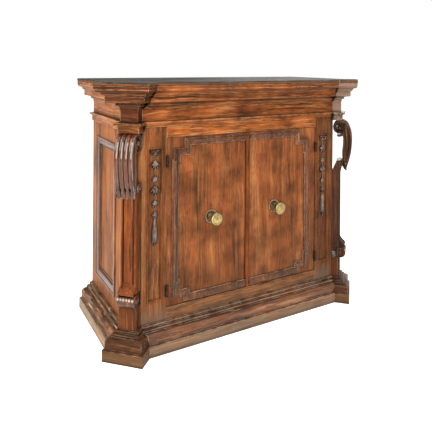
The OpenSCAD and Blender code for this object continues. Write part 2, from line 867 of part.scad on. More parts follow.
module door_hinge(z) {
    difference() {
        union() {
            translate([-hinge_x, hinge_y, z - knuckle_h / 2])
                cylinder(h = knuckle_h, r = knuckle_r);
            translate([-door_x, hinge_y, z - knuckle_h / 2])
                cube([leaf_t, leaf_d - hinge_y, knuckle_h]);
            translate([-door_x, door_set, z - hinge_h / 2])
                cube([leaf_t, leaf_d - door_set, hinge_h]);
        }
        translate([-hinge_x, hinge_y, z - hinge_h])
            cylinder(h = 2 * hinge_h, r = pin_r + pin_gap);
    }
}

module hinge_plates() {
    color(iron)
        for (z = hinge_zs)
            hinge_plate(z);
}

module door_hinges() {
    color(iron)
        for (z = hinge_zs)
            door_hinge(z);
}

// Door built on the left; the seam is where its boards end
module door_boards(seam, knob_x) {
    board = (seam + door_x) / board_n;
    color(plank_walnut)
        difference() {
            translate([-door_x, door_set, door_low])
                cube([seam + door_x, door_t, door_high - door_low]);
            for (i = [1:board_n - 1])
                translate([-door_x + i * board, door_set, door_low - 1])
                    linear_extrude(door_high - door_low + 2)
                        polygon([[-joint_w, -joint_w], [joint_w, -joint_w], [0, joint_w]]);
            for (z = hinge_zs)
                translate([-door_x - 1, door_set - 1, z - hinge_h / 2])
                    cube([leaf_t + 1, leaf_d - door_set + 1, hinge_h]);
            knob_bore(knob_x);
        }
}

module knob_bore(knob_x) {
    translate([-knob_x, -1, knob_mid])
        rotate([-90, 0, 0])
            cylinder(h = door_back + 2, r = spindle_r + spindle_gap);
}

module door_battens(seam) {
    color(inner_wood)
        for (z = [door_low + batten_in, door_high - batten_in - batten_h])
            translate([-door_x + batten_edge, door_back, z])
                cube([door_x + seam - 2 * batten_edge, batten_t, batten_h]);
}

// Stepped path of the applied moulding, moved inwards by o
function step_path(seam, margin, o) =
    let(x0 = -door_x + margin + o, x1 = x0 + step_small, x2 = x1 + step_large,
        zt = door_high - mould_end - o, zb = door_low + mould_end + o)
    [[seam, zt], [x2, zt], [x2, zt - step_rise], [x1, zt - step_rise], [x1, zt - step_rise - step_drop],
     [x0, zt - step_rise - step_drop], [x0, zb + step_foot + step_climb], [x1, zb + step_foot + step_climb],
     [x1, zb + step_foot], [x2, zb + step_foot], [x2, zb], [seam, zb]];

// The moulding's section carried along that path, with true mitres
module door_moulding(seam, margin) {
    edge = door_mould_edge();
    m = len(edge);
    paths = [for (p = edge) step_path(seam, margin, p.x)];
    n = len(paths[0]);
    color(dark_walnut)
        translate([0, door_set, 0])
            rotate([90, 0, 0])
                polyhedron(
                    points = [for (k = [0:n - 1], i = [0:m - 1]) [each paths[i][k], edge[i].y]],
                    faces = concat(
                        [for (k = [0:n - 2], i = [0:m - 1])
                            let(j = (i + 1) % m) [k * m + i, k * m + j, (k + 1) * m + j, (k + 1) * m + i]],
                        [[0, for (i = [m - 1:-1:1]) i], [for (i = [0:m - 1]) (n - 1) * m + i]]));
}

module closing_bead() {
    half = bead_w / 2;
    shoulder = bead_proud * 0.4;
    crest = [for (p = arc([0, 0], half - fillet, 180, 0, 8))
        [half + p.x, door_set - shoulder - p.y * (bead_proud - shoulder) / (half - fillet)]];
    color(walnut) seat()
        translate([right_seam, 0, door_low])
            linear_extrude(door_high - door_low)
                polygon(concat([[0, door_set], [0, door_set - shoulder]], crest,
                    [[bead_w, door_set - shoulder], [bead_w, door_set]]));
}

// Round rose with a turned rim, and the knob in front of it
module rose(knob_x) {
    bore = spindle_r + spindle_gap;
    rim = rose_t / 3;
    color(iron)
        translate([-knob_x, door_set, knob_mid])
            rotate([90, 0, 0])
                rotate_extrude()
                    polygon(concat([[bore, 0], [rose_r, 0]], arc([rose_r - rim, rim], rim, 0, 90, 5),
                        [[rose_r - 2 * rim, rim + 1], [rose_r - 4 * rim, rose_t], [bore, rose_t]]));
}

module knob(knob_x) {
    foot_r = spindle_r * 3;
    neck_r = spindle_r * 1.8;
    edge_r = knob_r * 0.27;
    back = knob_out - 2 * edge_r;
    color(brass)
        translate([-knob_x, door_set, knob_mid])
            rotate([90, 0, 0]) {
                rotate_extrude()
                    polygon(concat([[0, rose_t], [foot_r, rose_t], [foot_r - 1, rose_t + 4], [neck_r, rose_t + 9],
                        [neck_r, back - 2 * fillet], [foot_r, back - fillet]],
                        arc([knob_r - edge_r, knob_out - fillet - edge_r], edge_r, -45, 90, 7), [[0, knob_out]]));
                translate([0, 0, -door_t - spindle_tail])
                    cylinder(h = door_t + spindle_tail + rose_t + 1, r = spindle_r);
            }
}

module knob_nut(knob_x) {
    color(iron)
        translate([-knob_x, door_back, knob_mid])
            difference() {
                translate([-nut / 2, 0, -nut / 2])
                    cube([nut, nut_t, nut]);
                translate([0, -1, 0])
                    rotate([-90, 0, 0])
                        cylinder(h = nut_t + 2, r = spindle_r + pin_gap);
            }
}

plinth_front();
seat() plinth_side();  // plinth_left_side
seat() right_hand() plinth_side();  // plinth_right_side
seat() plinth_block();  // plinth_left_block
seat() right_hand() plinth_block();  // plinth_right_block
plinth_back_rail();
floor_board();
seat() post();  // left_post
seat() right_hand() post();  // right_post
seat() pilaster();  // left_pilaster
seat() right_hand() pilaster();  // right_pilaster
seat() pilaster_moulding();  // left_pilaster_moulding
seat() right_hand() pilaster_moulding();  // right_pilaster_moulding
seat() pendant();  // left_pendant
seat() right_hand() pendant();  // right_pendant
top_rail();
bottom_rail();
seat() side_frame();  // left_side_frame
seat() right_hand() side_frame();  // right_side_frame
seat() side_panel();  // left_side_panel
seat() right_hand() side_panel();  // right_side_panel
seat() side_moulding();  // left_side_moulding
seat() right_hand() side_moulding();  // right_side_moulding
back_boards();
shelf();
shelf_bearers();
seat() die();  // left_die
seat() right_hand() die();  // right_die
seat() console();  // left_console
seat() right_hand() console();  // right_console
seat() cap();  // left_cap
seat() right_hand() cap();  // right_cap
front_necking();
side_neckings();
front_frieze();
side_friezes();
frieze_blocks();
front_cornice();
side_cornices();
cornice_blocks();
top_board();
top_corners();
seat() hinge_plates();  // left_hinge_plates
seat() right_hand() hinge_plates();  // right_hinge_plates
seat() door_boards(left_seam, left_knob_x);  // left_door_boards
seat() door_battens(left_seam);  // left_door_battens
seat() door_moulding(left_seam, left_margin);  // left_door_moulding
seat() door_hinges();  // left_door_hinges
seat() rose(left_knob_x);  // left_rose
seat() knob(left_knob_x);  // left_knob
seat() knob_nut(left_knob_x);  // left_knob_nut
seat() right_hand() door_boards(-right_seam, right_knob_x);  // right_door_boards
seat() right_hand() door_battens(-right_seam);  // right_door_battens
seat() right_hand() door_moulding(bead_seam, right_margin);  // right_door_moulding
closing_bead();
seat() right_hand() door_hinges();  // right_door_hinges
seat() right_hand() rose(right_knob_x);  // right_rose
seat() right_hand() knob(right_knob_x);  // right_knob
seat() right_hand() knob_nut(right_knob_x);  // right_knob_nut
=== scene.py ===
# Walnut sideboard with canted corners, scroll consoles and a pair of doors, dressed for rendering.
# Metres, Z up, the front faces -Y. Sizes in the dictionaries are millimetres unless a note says otherwise.
import math

import bmesh
import bpy
from mathutils import Matrix, Vector


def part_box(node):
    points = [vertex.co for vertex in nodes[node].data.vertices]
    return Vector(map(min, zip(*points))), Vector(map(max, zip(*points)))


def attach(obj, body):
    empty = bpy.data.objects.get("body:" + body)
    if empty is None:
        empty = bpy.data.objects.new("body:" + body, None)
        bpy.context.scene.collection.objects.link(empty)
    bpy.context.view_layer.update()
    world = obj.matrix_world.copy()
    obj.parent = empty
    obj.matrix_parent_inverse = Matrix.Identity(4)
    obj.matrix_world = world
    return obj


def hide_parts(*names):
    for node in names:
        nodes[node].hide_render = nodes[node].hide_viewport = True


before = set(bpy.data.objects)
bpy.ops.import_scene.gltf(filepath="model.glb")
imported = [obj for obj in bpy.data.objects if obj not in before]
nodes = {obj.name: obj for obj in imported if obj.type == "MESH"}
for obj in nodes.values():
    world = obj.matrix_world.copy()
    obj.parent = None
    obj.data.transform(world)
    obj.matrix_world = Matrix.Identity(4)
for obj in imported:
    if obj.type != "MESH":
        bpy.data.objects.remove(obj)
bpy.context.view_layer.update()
print("frame loaded:", len(nodes), "nodes")

mm = 0.001
nookSamples, arrisSamples = 6, 4
reliefDepth = 0.5        # height of the bump on wood and metal
scene = bpy.context.scene
scene.view_settings.view_transform = "Standard"


def linearColour(hexCode, alpha=1.0):
    # sRGB hex to linear light
    channels = [int(hexCode[i:i + 2], 16) / 255 for i in (1, 3, 5)]
    return [c / 12.92 if c <= 0.04045 else ((c + 0.055) / 1.055) ** 2.4 for c in channels] + [alpha]


def addNode(tree, kind, settings=None, links=None):
    # settings: input name or number, or a property of the node; links: input -> output socket
    node = tree.nodes.new(kind)
    for key, value in (settings or {}).items():
        if key == "stops":
            while len(node.color_ramp.elements) > 1:
                node.color_ramp.elements.remove(node.color_ramp.elements[-1])
            for i, (place, colour) in enumerate(value):
                stop = node.color_ramp.elements[0] if i == 0 else node.color_ramp.elements.new(place)
                stop.position = place
                stop.color = colour
        elif isinstance(key, int) or key in node.inputs:
            node.inputs[key].default_value = value
        else:
            setattr(node, key, value)
    for key, source in (links or {}).items():
        tree.links.new(source, node.inputs[key])
    return node


def newObject(name, data):
    made = bpy.data.objects.new(name, data)
    scene.collection.objects.link(made)
    return made


def newMaterial(name):
    material = bpy.data.materials.new(name)
    material.use_nodes = True
    material.node_tree.nodes.clear()
    return material, material.node_tree


def greys(*stops):
    return [(place, (value, value, value, 1)) for place, value in stops]


def wearSigns(tree, reach, edge):
    # how open a place is to the sky, a rounded normal, and how far that departs from the flat one on an arris
    nook = addNode(tree, "ShaderNodeAmbientOcclusion", {"samples": nookSamples, "Distance": reach * mm})
    rounded = addNode(tree, "ShaderNodeBevel", {"samples": arrisSamples, "Radius": edge * mm})
    flat = addNode(tree, "ShaderNodeNewGeometry")
    apart = addNode(tree, "ShaderNodeVectorMath", {"operation": "DOT_PRODUCT"},
                    {0: rounded.outputs[0], 1: flat.outputs["Normal"]})
    return nook.outputs["AO"], rounded.outputs[0], apart.outputs["Value"]


# Waxed walnut, planed or carved and worn: long streaks along the grain, short dark pores, old polish gone
# dark in patches, grime and painted shade in the corners, and paler arrises, partly rubbed and partly painted
# highlight. Streaks are about 14 mm across, pores 1 mm.
woodDefaults = {
    "grain": "z", "turn": 0.0, "shift": (0.0, 0.0, 0.0),        # axis of the grain, degrees, metres
    "wander": 30.0, "wanderLong": 200.0,                        # how far the grain strays, and over what
    "tones": ("#4a2410", "#80461f", "#8c441c", "#ab6a36"),      # dark streaks, body, flame, light streaks
    "streakWide": 14.0, "streakLong": 420.0,
    "fibreWide": 2.2, "fibreLong": 70.0, "fibreDark": 0.62,
    "poreWide": 1.1, "poreLong": 11.0, "poreDark": 0.4,
    "mottle": 0.4, "mottleSize": 170.0,
    # polish gone dark in patches, and rubbed thin in streaks
    "patch": 0.55, "patchWide": 26.0, "patchLong": 130.0, "patchColour": "#2b150a",
    "rub": 0.4, "rubWide": 3.2, "rubLong": 120.0, "rubColour": "#c98e58",
    # grime and painted shade where faces meet, wear and painted highlight on the arrises, scuffs below a
    # height
    "grimeAndShade": 0.8, "grimeAndShadeReach": 26.0, "grimeAndShadeColour": "#1c0f08",
    "wear": 0.6, "wearColour": "#c99762", "edge": 2.4,
    "scuff": 0.0, "scuffTop": 60.0, "scuffSoft": 20.0, "scuffColour": "#a08468",
    # the two ends are scaled darker or lighter, and beyond a distance to +X some pieces are painted paler,
    # mostly painted light and sheen
    "leftTone": 1.0, "rightTone": 1.0,
    "bleachAndLight": 0.0, "bleachAndLightFrom": 0.0, "bleachAndLightSoft": 40.0, "bleachAndLightColour": "#b59f90",
    "rough": 0.46, "roughSpread": 0.18, "specular": 0.13, "coat": 0.0, "coatRough": 0.25, "bump": 0.35,
}

grainNoise = {"Scale": 0.5, "Roughness": 0.6, "Distortion": 0.3}  # two units of a stretched pattern to a wave
grainDetail = {"streak": 5.0, "fibre": 3.0, "pore": 2.0, "patch": 4.0, "rub": 3.0}
grainApart = (3.1, 1.7)  # keeps the patterns from lying in step
streakStops = (0.32, 0.43, 0.53, 0.66)
shadeStops = {"fibre": (0.34, 0.62), "pore": (0.36, 0.45), "mottle": (0.34, 0.62)}
woodWindows = {
    # where a noise, a height or an openness turns from none to full
    "patch": (0.5, 0.66), "rub": (0.55, 0.72), "across": (-0.5, 0.5), "scuffSpots": (0.3, 0.55),
    "grimeAndShade": (0.9, 0.42), "arris": (0.985, 0.84), "wearSpots": (0.38, 0.56), "openAir": (0.55, 0.9),
    "gloss": (0.3, 0.7),
}
wearSpotScale = 28.0     # spots to a metre on a rubbed arris


def waxedWood(name, changes):
    s = dict(woodDefaults, **changes)
    material, tree = newMaterial(name)
    where = addNode(tree, "ShaderNodeTexCoord")
    turned = addNode(tree, "ShaderNodeMapping",
                     {"Rotation": (0, 0, math.radians(s["turn"])), "Location": s["shift"]},
                     {"Vector": where.outputs["Object"]})
    bend = addNode(tree, "ShaderNodeTexNoise", {"Scale": 1 / (s["wanderLong"] * mm), "Detail": 2.0},
                   {"Vector": turned.outputs[0]})
    bendSmall = addNode(tree, "ShaderNodeVectorMath", {"operation": "SCALE", "Scale": s["wander"] * mm},
                        {0: bend.outputs["Color"]})
    bent = addNode(tree, "ShaderNodeVectorMath", {"operation": "ADD"},
                   {0: turned.outputs[0], 1: bendSmall.outputs[0]})

    # noises stretched along the grain
    patterns = {}
    for n, (part, detail) in enumerate(grainDetail.items()):
        scale = [1 / (s[part + ("Long" if axis == s["grain"] else "Wide")] * mm) for axis in "xyz"]
        stretched = addNode(tree, "ShaderNodeMapping",
                            {"Scale": scale, "Location": (grainApart[0] * n, grainApart[1] * n, 0.0)},
                            {"Vector": bent.outputs[0]})
        patterns[part] = addNode(tree, "ShaderNodeTexNoise", dict(grainNoise, Detail=detail),
                                 {"Vector": stretched.outputs[0]}).outputs["Fac"]
    mottle = addNode(tree, "ShaderNodeTexNoise", {"Scale": 1 / (s["mottleSize"] * mm), "Detail": 3.0},
                     {"Vector": turned.outputs[0]})
    wearNoise = addNode(tree, "ShaderNodeTexNoise", {"Scale": wearSpotScale, "Detail": 4.0},
                        {"Vector": turned.outputs[0]})
    tone = addNode(tree, "ShaderNodeValToRGB",
                   {"stops": [(place, linearColour(code)) for place, code in zip(streakStops, s["tones"])]},
                   {"Fac": patterns["streak"]})
    shades = {}
    for part, source, dark, pale in (
            ("fibre", patterns["fibre"], s["fibreDark"], 1.1),
            ("pore", patterns["pore"], 1 - s["poreDark"], 1.0),
            ("mottle", mottle.outputs["Fac"], 1 - s["mottle"], 1 + 0.4 * s["mottle"])):
        stops = greys(*zip(shadeStops[part], (dark, pale)))
        shades[part] = addNode(tree, "ShaderNodeValToRGB", {"stops": stops}, {"Fac": source}).outputs[0]

    # how much of each: from the patterns, from the place, from how closed in a spot is (grime and painted
    # shade) and from rounded arrises (wear and painted highlight)
    spot = addNode(tree, "ShaderNodeSeparateXYZ", None, {0: where.outputs["Object"]})
    openness, rounded, arris = wearSigns(tree, s["grimeAndShadeReach"], s["edge"])
    windows = dict(
        woodWindows,
        bleachAndLight=(s["bleachAndLightFrom"] * mm, (s["bleachAndLightFrom"] + s["bleachAndLightSoft"]) * mm),
        low=((s["scuffTop"] + s["scuffSoft"]) * mm, s["scuffTop"] * mm))
    spread = s["roughSpread"] / 2
    amounts = {}
    for part, source, least, most in (
            ("patch", patterns["patch"], 0.0, s["patch"]),
            ("rub", patterns["rub"], 0.0, s["rub"]),
            ("across", spot.outputs["X"], s["leftTone"], s["rightTone"]),
            ("bleachAndLight", spot.outputs["X"], 0.0, s["bleachAndLight"]),
            ("low", spot.outputs["Z"], 0.0, s["scuff"]),
            ("scuffSpots", patterns["patch"], 0.0, 1.0),
            # grime: darker where a spot is closed in, grime and painted shade
            ("grimeAndShade", openness, 0.0, s["grimeAndShade"]),
            ("arris", arris, 0.0, s["wear"]),
            ("wearSpots", wearNoise.outputs["Fac"], 0.0, 1.0),
            ("openAir", openness, 0.0, 1.0),
            ("gloss", patterns["patch"], s["rough"] - spread, s["rough"] + spread)):
        start, full = windows[part]
        amounts[part] = addNode(tree, "ShaderNodeMapRange",
                                {"From Min": start, "From Max": full, "To Min": least, "To Max": most},
                                {"Value": source}).outputs[0]
    # pale arrises: partly wear, partly painted highlight
    for part, first, second in (("scuff", "low", "scuffSpots"), ("rubbed", "arris", "wearSpots"),
                                ("wear", "rubbed", "openAir")):
        amounts[part] = addNode(tree, "ShaderNodeMath", {"operation": "MULTIPLY"},
                                {0: amounts[first], 1: amounts[second]}).outputs[0]

    # from the bare wood up: shades multiply, colours lie over what is below by their own amount
    colour = tone.outputs[0]
    for layer in (shades["fibre"], shades["pore"], shades["mottle"], "patch", "rub", amounts["across"],
                  "bleachAndLight", "scuff", "grimeAndShade", "wear"):
        if isinstance(layer, str):
            mixed = addNode(tree, "ShaderNodeMix",
                            {"data_type": "RGBA", 7: linearColour(s[layer + "Colour"])},
                            {0: amounts[layer], 6: colour})
        else:
            mixed = addNode(tree, "ShaderNodeMix",
                            {"data_type": "RGBA", "blend_type": "MULTIPLY", 0: 1.0}, {6: colour, 7: layer})
        colour = mixed.outputs[2]

    skin = addNode(tree, "ShaderNodeMath", {"operation": "ADD"}, {0: patterns["fibre"], 1: shades["pore"]})
    relief = addNode(tree, "ShaderNodeBump", {"Strength": s["bump"], "Distance": reliefDepth * mm},
                     {"Height": skin.outputs[0], "Normal": rounded})
    shader = addNode(tree, "ShaderNodeBsdfPrincipled",
                     {"IOR": 1.5, "Specular IOR Level": s["specular"], "Coat Weight": s["coat"],
                      "Coat Roughness": s["coatRough"]},
                     {"Base Color": colour, "Roughness": amounts["gloss"], "Normal": relief.outputs[0]})
    addNode(tree, "ShaderNodeOutputMaterial", None, {"Surface": shader.outputs[0]})
    return material


# Each finish is one stock of wood with its own cut, polish and wear
woodStock = {
    # wide door boards: quiet figure, redder and darker streaks, dark low down where hands and mops reach
    "doorWalnut": dict(
        tones=("#593119", "#8a5430", "#91502b", "#a86e41"), streakWide=30, streakLong=520, mottle=0.5,
        mottleSize=95, patch=0.3, patchLong=240, patchColour="#3c1f0e", rub=0.22, rubLong=200,
        grimeAndShadeReach=46, wear=0.3, scuff=0.4, scuffTop=180, scuffSoft=170, scuffColour="#553520"),
    "beadWalnut": dict(
        shift=(0.3, 0.1, 0.2), tones=("#63300f", "#87491f", "#8e451e", "#995a2a"), mottleSize=120,
        patch=0.3, rub=0.15, wear=0.35),
    "frameWalnut": dict(
        tones=("#583119", "#86522d", "#8a4f2b", "#a36d40"), patch=0.5, patchLong=260, rub=0.45, rubLong=260,
        rubColour="#b88d66", grimeAndShade=1.0, grimeAndShadeReach=30, scuff=0.6, scuffTop=112, scuffSoft=70,
        scuffColour="#75685a", rightTone=0.7),
    # rails, frieze and cornice of the front: lively grain, dark smears and pale rubbed lines
    "railWalnut": dict(
        grain="x", tones=("#6b3818", "#a5602c", "#a95a2a", "#c9824a"), streakWide=9, streakLong=220,
        mottle=0.5, mottleSize=110, patch=0.6, patchWide=10, patchLong=80, rub=0.55, rubWide=3.4,
        rubLong=80, rubColour="#dda36f", grimeAndShade=1.0, grimeAndShadeReach=22, wear=0.9, wearColour="#eac6a0", edge=3.4,
        scuff=0.4, scuffTop=112, scuffSoft=60, scuffColour="#6d5a48", leftTone=1.1, rightTone=0.86),
    "corniceWalnut": dict(
        grain="x", tones=("#562c13", "#8f5226", "#924c23", "#b5733d"), streakWide=9, streakLong=220,
        mottle=0.5, mottleSize=110, patch=0.65, patchWide=10, patchLong=90, rub=0.6, rubWide=3.4,
        rubLong=80, rubColour="#d69c68", grimeAndShade=1.0, grimeAndShadeReach=22, wear=0.95, wearColour="#e6c09a",
        edge=3.6, leftTone=1.12, rightTone=0.82),
    "footRailWalnut": dict(
        grain="x", tones=("#4c2b14", "#86552f", "#8b532c", "#a97748"), streakWide=9, streakLong=200,
        mottle=0.5, mottleSize=90, patch=0.6, patchWide=9, patchLong=70, rubColour="#c5966a", grimeAndShade=1.0,
        grimeAndShadeReach=24, wear=0.8, wearColour="#d9b48e", edge=3.2, scuff=0.5, scuffTop=112, scuffSoft=60,
        scuffColour="#6d5a48", leftTone=0.95),
    "sideWalnut": dict(
        tones=("#653910", "#935619", "#9c531c", "#b57831"), patch=0.4, rub=0.35, grimeAndShade=1.0, grimeAndShadeReach=46,
        wearColour="#dcae80"),
    "sideRailWalnut": dict(
        grain="y", tones=("#6b3b1a", "#a8642f", "#ad622d", "#d0915a"), streakWide=8, streakLong=200,
        patch=0.6, patchWide=10, patchLong=60, rub=0.6, grimeAndShade=1.0, grimeAndShadeReach=20, wear=0.95,
        wearColour="#ecccab", edge=3.8),
    # frieze and cornice blocks of both piers: those beyond x = 0 painted paler, mostly painted light and
    # sheen
    "leftBlockWalnut": dict(
        grain="x", turn=45, tones=("#371a09", "#572c0e", "#5c2a11", "#74401b"), streakWide=8,
        streakLong=120, patch=0.6, patchWide=12, patchLong=60, grimeAndShade=1.0, grimeAndShadeReach=18, wear=0.85,
        wearColour="#dcb488", edge=4.2, leftTone=0.8, rightTone=0.9, bleachAndLight=0.5, bleachAndLightColour="#a08b7d"),
    "leftCapWalnut": dict(
        grain="x", turn=45, tones=("#482410", "#75421c", "#79401b", "#98602f"), streakWide=8,
        streakLong=120, patch=0.6, patchWide=10, patchLong=60, grimeAndShade=1.0, grimeAndShadeReach=18, wear=0.9,
        wearColour="#dcb488", edge=4.2),
    # the right cap: the same walnut painted pale grey-brown, mostly painted light and sheen
    "rightBlockLitWalnut": dict(
        grain="x", turn=-45, tones=("#4a382c", "#836a5a", "#876c5c", "#a38c7f"), patch=0.6, patchWide=10,
        patchLong=50, rubColour="#ccb49f", grimeAndShadeReach=16, wearColour="#dcc8b8", edge=4.2),
    # plinth blocks: end grain edges knocked pale, partly painted highlight, dirt worked into the faces and
    # painted shade in the corners; the right block painted paler, mostly painted light
    "plinthBlockWalnut": dict(
        grain="x", turn=45, tones=("#2b180c", "#50311c", "#53301d", "#6d4a30"), streakWide=8,
        streakLong=110, patch=0.65, patchWide=13, patchLong=70, grimeAndShade=1.0, grimeAndShadeReach=20, wear=0.95,
        wearColour="#c9a988", edge=4.8, scuff=0.5, scuffTop=38, scuffSoft=8, scuffColour="#75593e",
        bleachAndLight=0.5, bleachAndLightFrom=548, bleachAndLightColour="#b0a28c", rough=0.55),
    # plinth: the same wood, kicked and mopped, grey and pale on the base band
    "plinthWalnut": dict(
        grain="x", tones=("#3d2110", "#774a2b", "#7c4828", "#a37450"), streakWide=8, streakLong=240,
        patch=0.7, patchWide=8, patchLong=110, rub=0.5, rubWide=4, rubColour="#b99a7d", grimeAndShade=1.0,
        grimeAndShadeReach=24, wear=1.0, wearColour="#e6d2bb", edge=3.8, scuff=0.62, scuffTop=36, scuffSoft=8,
        scuffColour="#8f785e", rough=0.5, specular=0.2, coat=0.35, coatRough=0.2),
    "plinthSideWalnut": dict(
        grain="y", tones=("#452a17", "#7f583c", "#835438", "#b58a63"), streakWide=9, streakLong=160,
        mottle=0.6, mottleSize=60, patch=0.85, patchWide=9, patchLong=60, rub=0.9, rubWide=5, rubLong=50,
        rubColour="#d3bba0", grimeAndShade=0.97, grimeAndShadeReach=15, wear=1.0, wearColour="#d8bd9f", edge=3.8,
        scuff=0.65, scuffTop=40, scuffSoft=8, scuffColour="#b5a08a", rough=0.58),
    # applied door mouldings, blackened in their hollows by old polish and painted shade, pale on the arrises
    # partly as painted highlight
    "mouldingWalnut": dict(
        tones=("#361d10", "#69402a", "#6d3d26", "#8d6041"), fibreDark=0.8, patch=0.4, patchLong=60,
        grimeAndShade=1.0, grimeAndShadeReach=12, wear=1.0, wearColour="#f0d2ae", edge=1.7, scuff=0.5, scuffTop=250,
        scuffSoft=90, scuffColour="#40352b", rough=0.42, specular=0.1, coat=0.25, coatRough=0.14),
    "panelMouldingWalnut": dict(
        tones=("#381b0b", "#64361a", "#693216", "#8a542b"), fibreDark=0.8, patch=0.4, grimeAndShade=1.0,
        grimeAndShadeReach=16, wear=0.9, wearColour="#ecd2b2", edge=1.8, specular=0.08, coat=0.7, coatRough=0.16),
    "pilasterMouldingWalnut": dict(
        tones=("#45220f", "#77431f", "#7e401b", "#9c6031"), grimeAndShade=0.97, grimeAndShadeReach=9, wear=0.7,
        wearColour="#d0a87c", edge=1.4),
    # carved walnut, waxed often and polished by hands: glossy on the rounds, dark in the cuts with painted
    # shade, pale crowns partly painted highlight
    "leftCarvedWalnut": dict(
        tones=("#1c0c05", "#582b10", "#602d10", "#824720"), patch=0.5, patchColour="#150a05", grimeAndShade=1.0,
        grimeAndShadeReach=44, grimeAndShadeColour="#0a0502", wear=0.7, wearColour="#e8d6c2", edge=2.2, rough=0.4,
        specular=0.08, coat=0.85, coatRough=0.05, bump=0.08),
    # the right console: the same carved walnut made darker, painted shade
    "rightCarvedWalnut": dict(
        tones=("#20110a", "#442616", "#482717", "#5f3a23"), patch=0.5, patchColour="#150a05", grimeAndShade=1.0,
        grimeAndShadeColour="#0a0502", wear=0.85, wearColour="#b89878", edge=2.2, rough=0.45, specular=0.08,
        coat=0.12, coatRough=0.12, bump=0.1),
    "leftStripWalnut": dict(
        tones=("#4f250f", "#80421a", "#874018", "#a05e28"), rub=0.3, grimeAndShade=1.0, grimeAndShadeReach=16, wear=0.65,
        wearColour="#dcb48c", edge=1.6, rough=0.45, specular=0.08, coat=0.1, coatRough=0.15),
    # the right console's strip: the same walnut made darker, painted shade
    "rightStripWalnut": dict(
        tones=("#22120a", "#40230f", "#452414", "#593620"), rub=0.25, rubColour="#7c5b42", grimeAndShade=1.0,
        grimeAndShadeReach=14, wear=0.7, wearColour="#a98768", edge=1.8, specular=0.08, coat=0.1, coatRough=0.15),
    # pearls painted pale for their highlights, with painted shade between them; pendants dark with painted
    # shade in the cuts, their high places pale, partly rubbed wood and partly painted highlight
    "pearlHighlightWalnut": dict(
        tones=("#92745b", "#c0a58c", "#c6aa90", "#e8d8c6"), patch=0.1, grimeAndShade=0.85, grimeAndShadeReach=5,
        grimeAndShadeColour="#130a05", wear=0.5, wearColour="#f2e6d8", rough=0.35, specular=0.4, coat=1.0,
        coatRough=0.12),
    "pendantWalnut": dict(
        tones=("#1a0d06", "#3b2115", "#402416", "#5e3d2a"), patchColour="#1a0f09", grimeAndShade=1.0, grimeAndShadeReach=10,
        grimeAndShadeColour="#0e0704", wear=1.0, wearColour="#e2cfba", edge=3.2, rough=0.4, specular=0.1, coat=0.8,
        coatRough=0.1, bump=0.15),
    "dieWalnut": dict(
        tones=("#45220c", "#66391c", "#693618", "#7e4c26"), patch=0.4, rightTone=0.6),
    # top board: blackened and waxed, its arrises chipped down to pale wood
    "blackenedTop": dict(
        grain="x", tones=("#2b2521", "#453c37", "#4a413b", "#5e534b"), patchColour="#1f1915", rub=0.3,
        rubColour="#756960", grimeAndShade=0.4, wear=0.9, wearColour="#c4ae98", scuff=1.0, scuffTop=1043,
        scuffSoft=2.5, scuffColour="#7d4c2a", rough=0.62, specular=0.03),
    "poplarInside": dict(
        grain="x", tones=("#7b5a39", "#a48057", "#ab8459", "#c3a076"), patch=0.2, rub=0.1, grimeAndShade=0.6,
        grimeAndShadeColour="#3a2819", wear=0.15, rough=0.68),
    "poplarBack": dict(
        tones=("#6a4c2e", "#927049", "#9b754b", "#b29168"), patch=0.25, rub=0.1, grimeAndShade=0.7,
        grimeAndShadeColour="#33241a", wear=0.15, rough=0.72),
}
woods = {name: waxedWood(name, changes) for name, changes in woodStock.items()}
print("woods ready:", len(woods))


# Cast or turned metal: cloudy tarnish, a fine uneven skin, dirt in the corners and bare edges
metalWindows = {"nook": (0.9, 0.4), "arris": (0.98, 0.85), "gloss": (0.3, 0.7)}
metalStock = {
    # old unlacquered brass, turned and rubbed by hands: pale straw yellow under a thin dull film
    "rubbedBrass": dict(
        dull="#8c7848", bright="#b5a16c", dirt="#4a3a1e", bare="#eadfb4", edge=1.0, cloud=14, skin=2.2,
        rough=0.33, bump=0.3, metallic=0.85),
    # bronze darkened by age, with a brown skin and a bare rim; the paler bronze of the rim is partly rubbed
    # and partly painted highlight
    "darkBronze": dict(
        dull="#3a2d20", bright="#6a5640", dirt="#120d09", bare="#c2a67c", edge=1.6, cloud=12, skin=1.8,
        rough=0.38, bump=0.4, metallic=1.0),
    "rubbedBronze": dict(
        dull="#5e4c3a", bright="#9c846c", dirt="#1c140d", bare="#e6cdb4", edge=1.6, cloud=12, skin=1.8,
        rough=0.34, bump=0.4, metallic=1.0),
    # forged iron, oiled black
    "blackIron": dict(
        dull="#1c1916", bright="#3a332d", dirt="#0d0a08", bare="#6a5f55", edge=0.8, cloud=10, skin=1.5,
        rough=0.5, bump=0.5, metallic=0.9),
}
nookReach = 6.0
mostDirt = 0.8
glossSpread = 0.07
cloudStops = (0.35, 0.62)


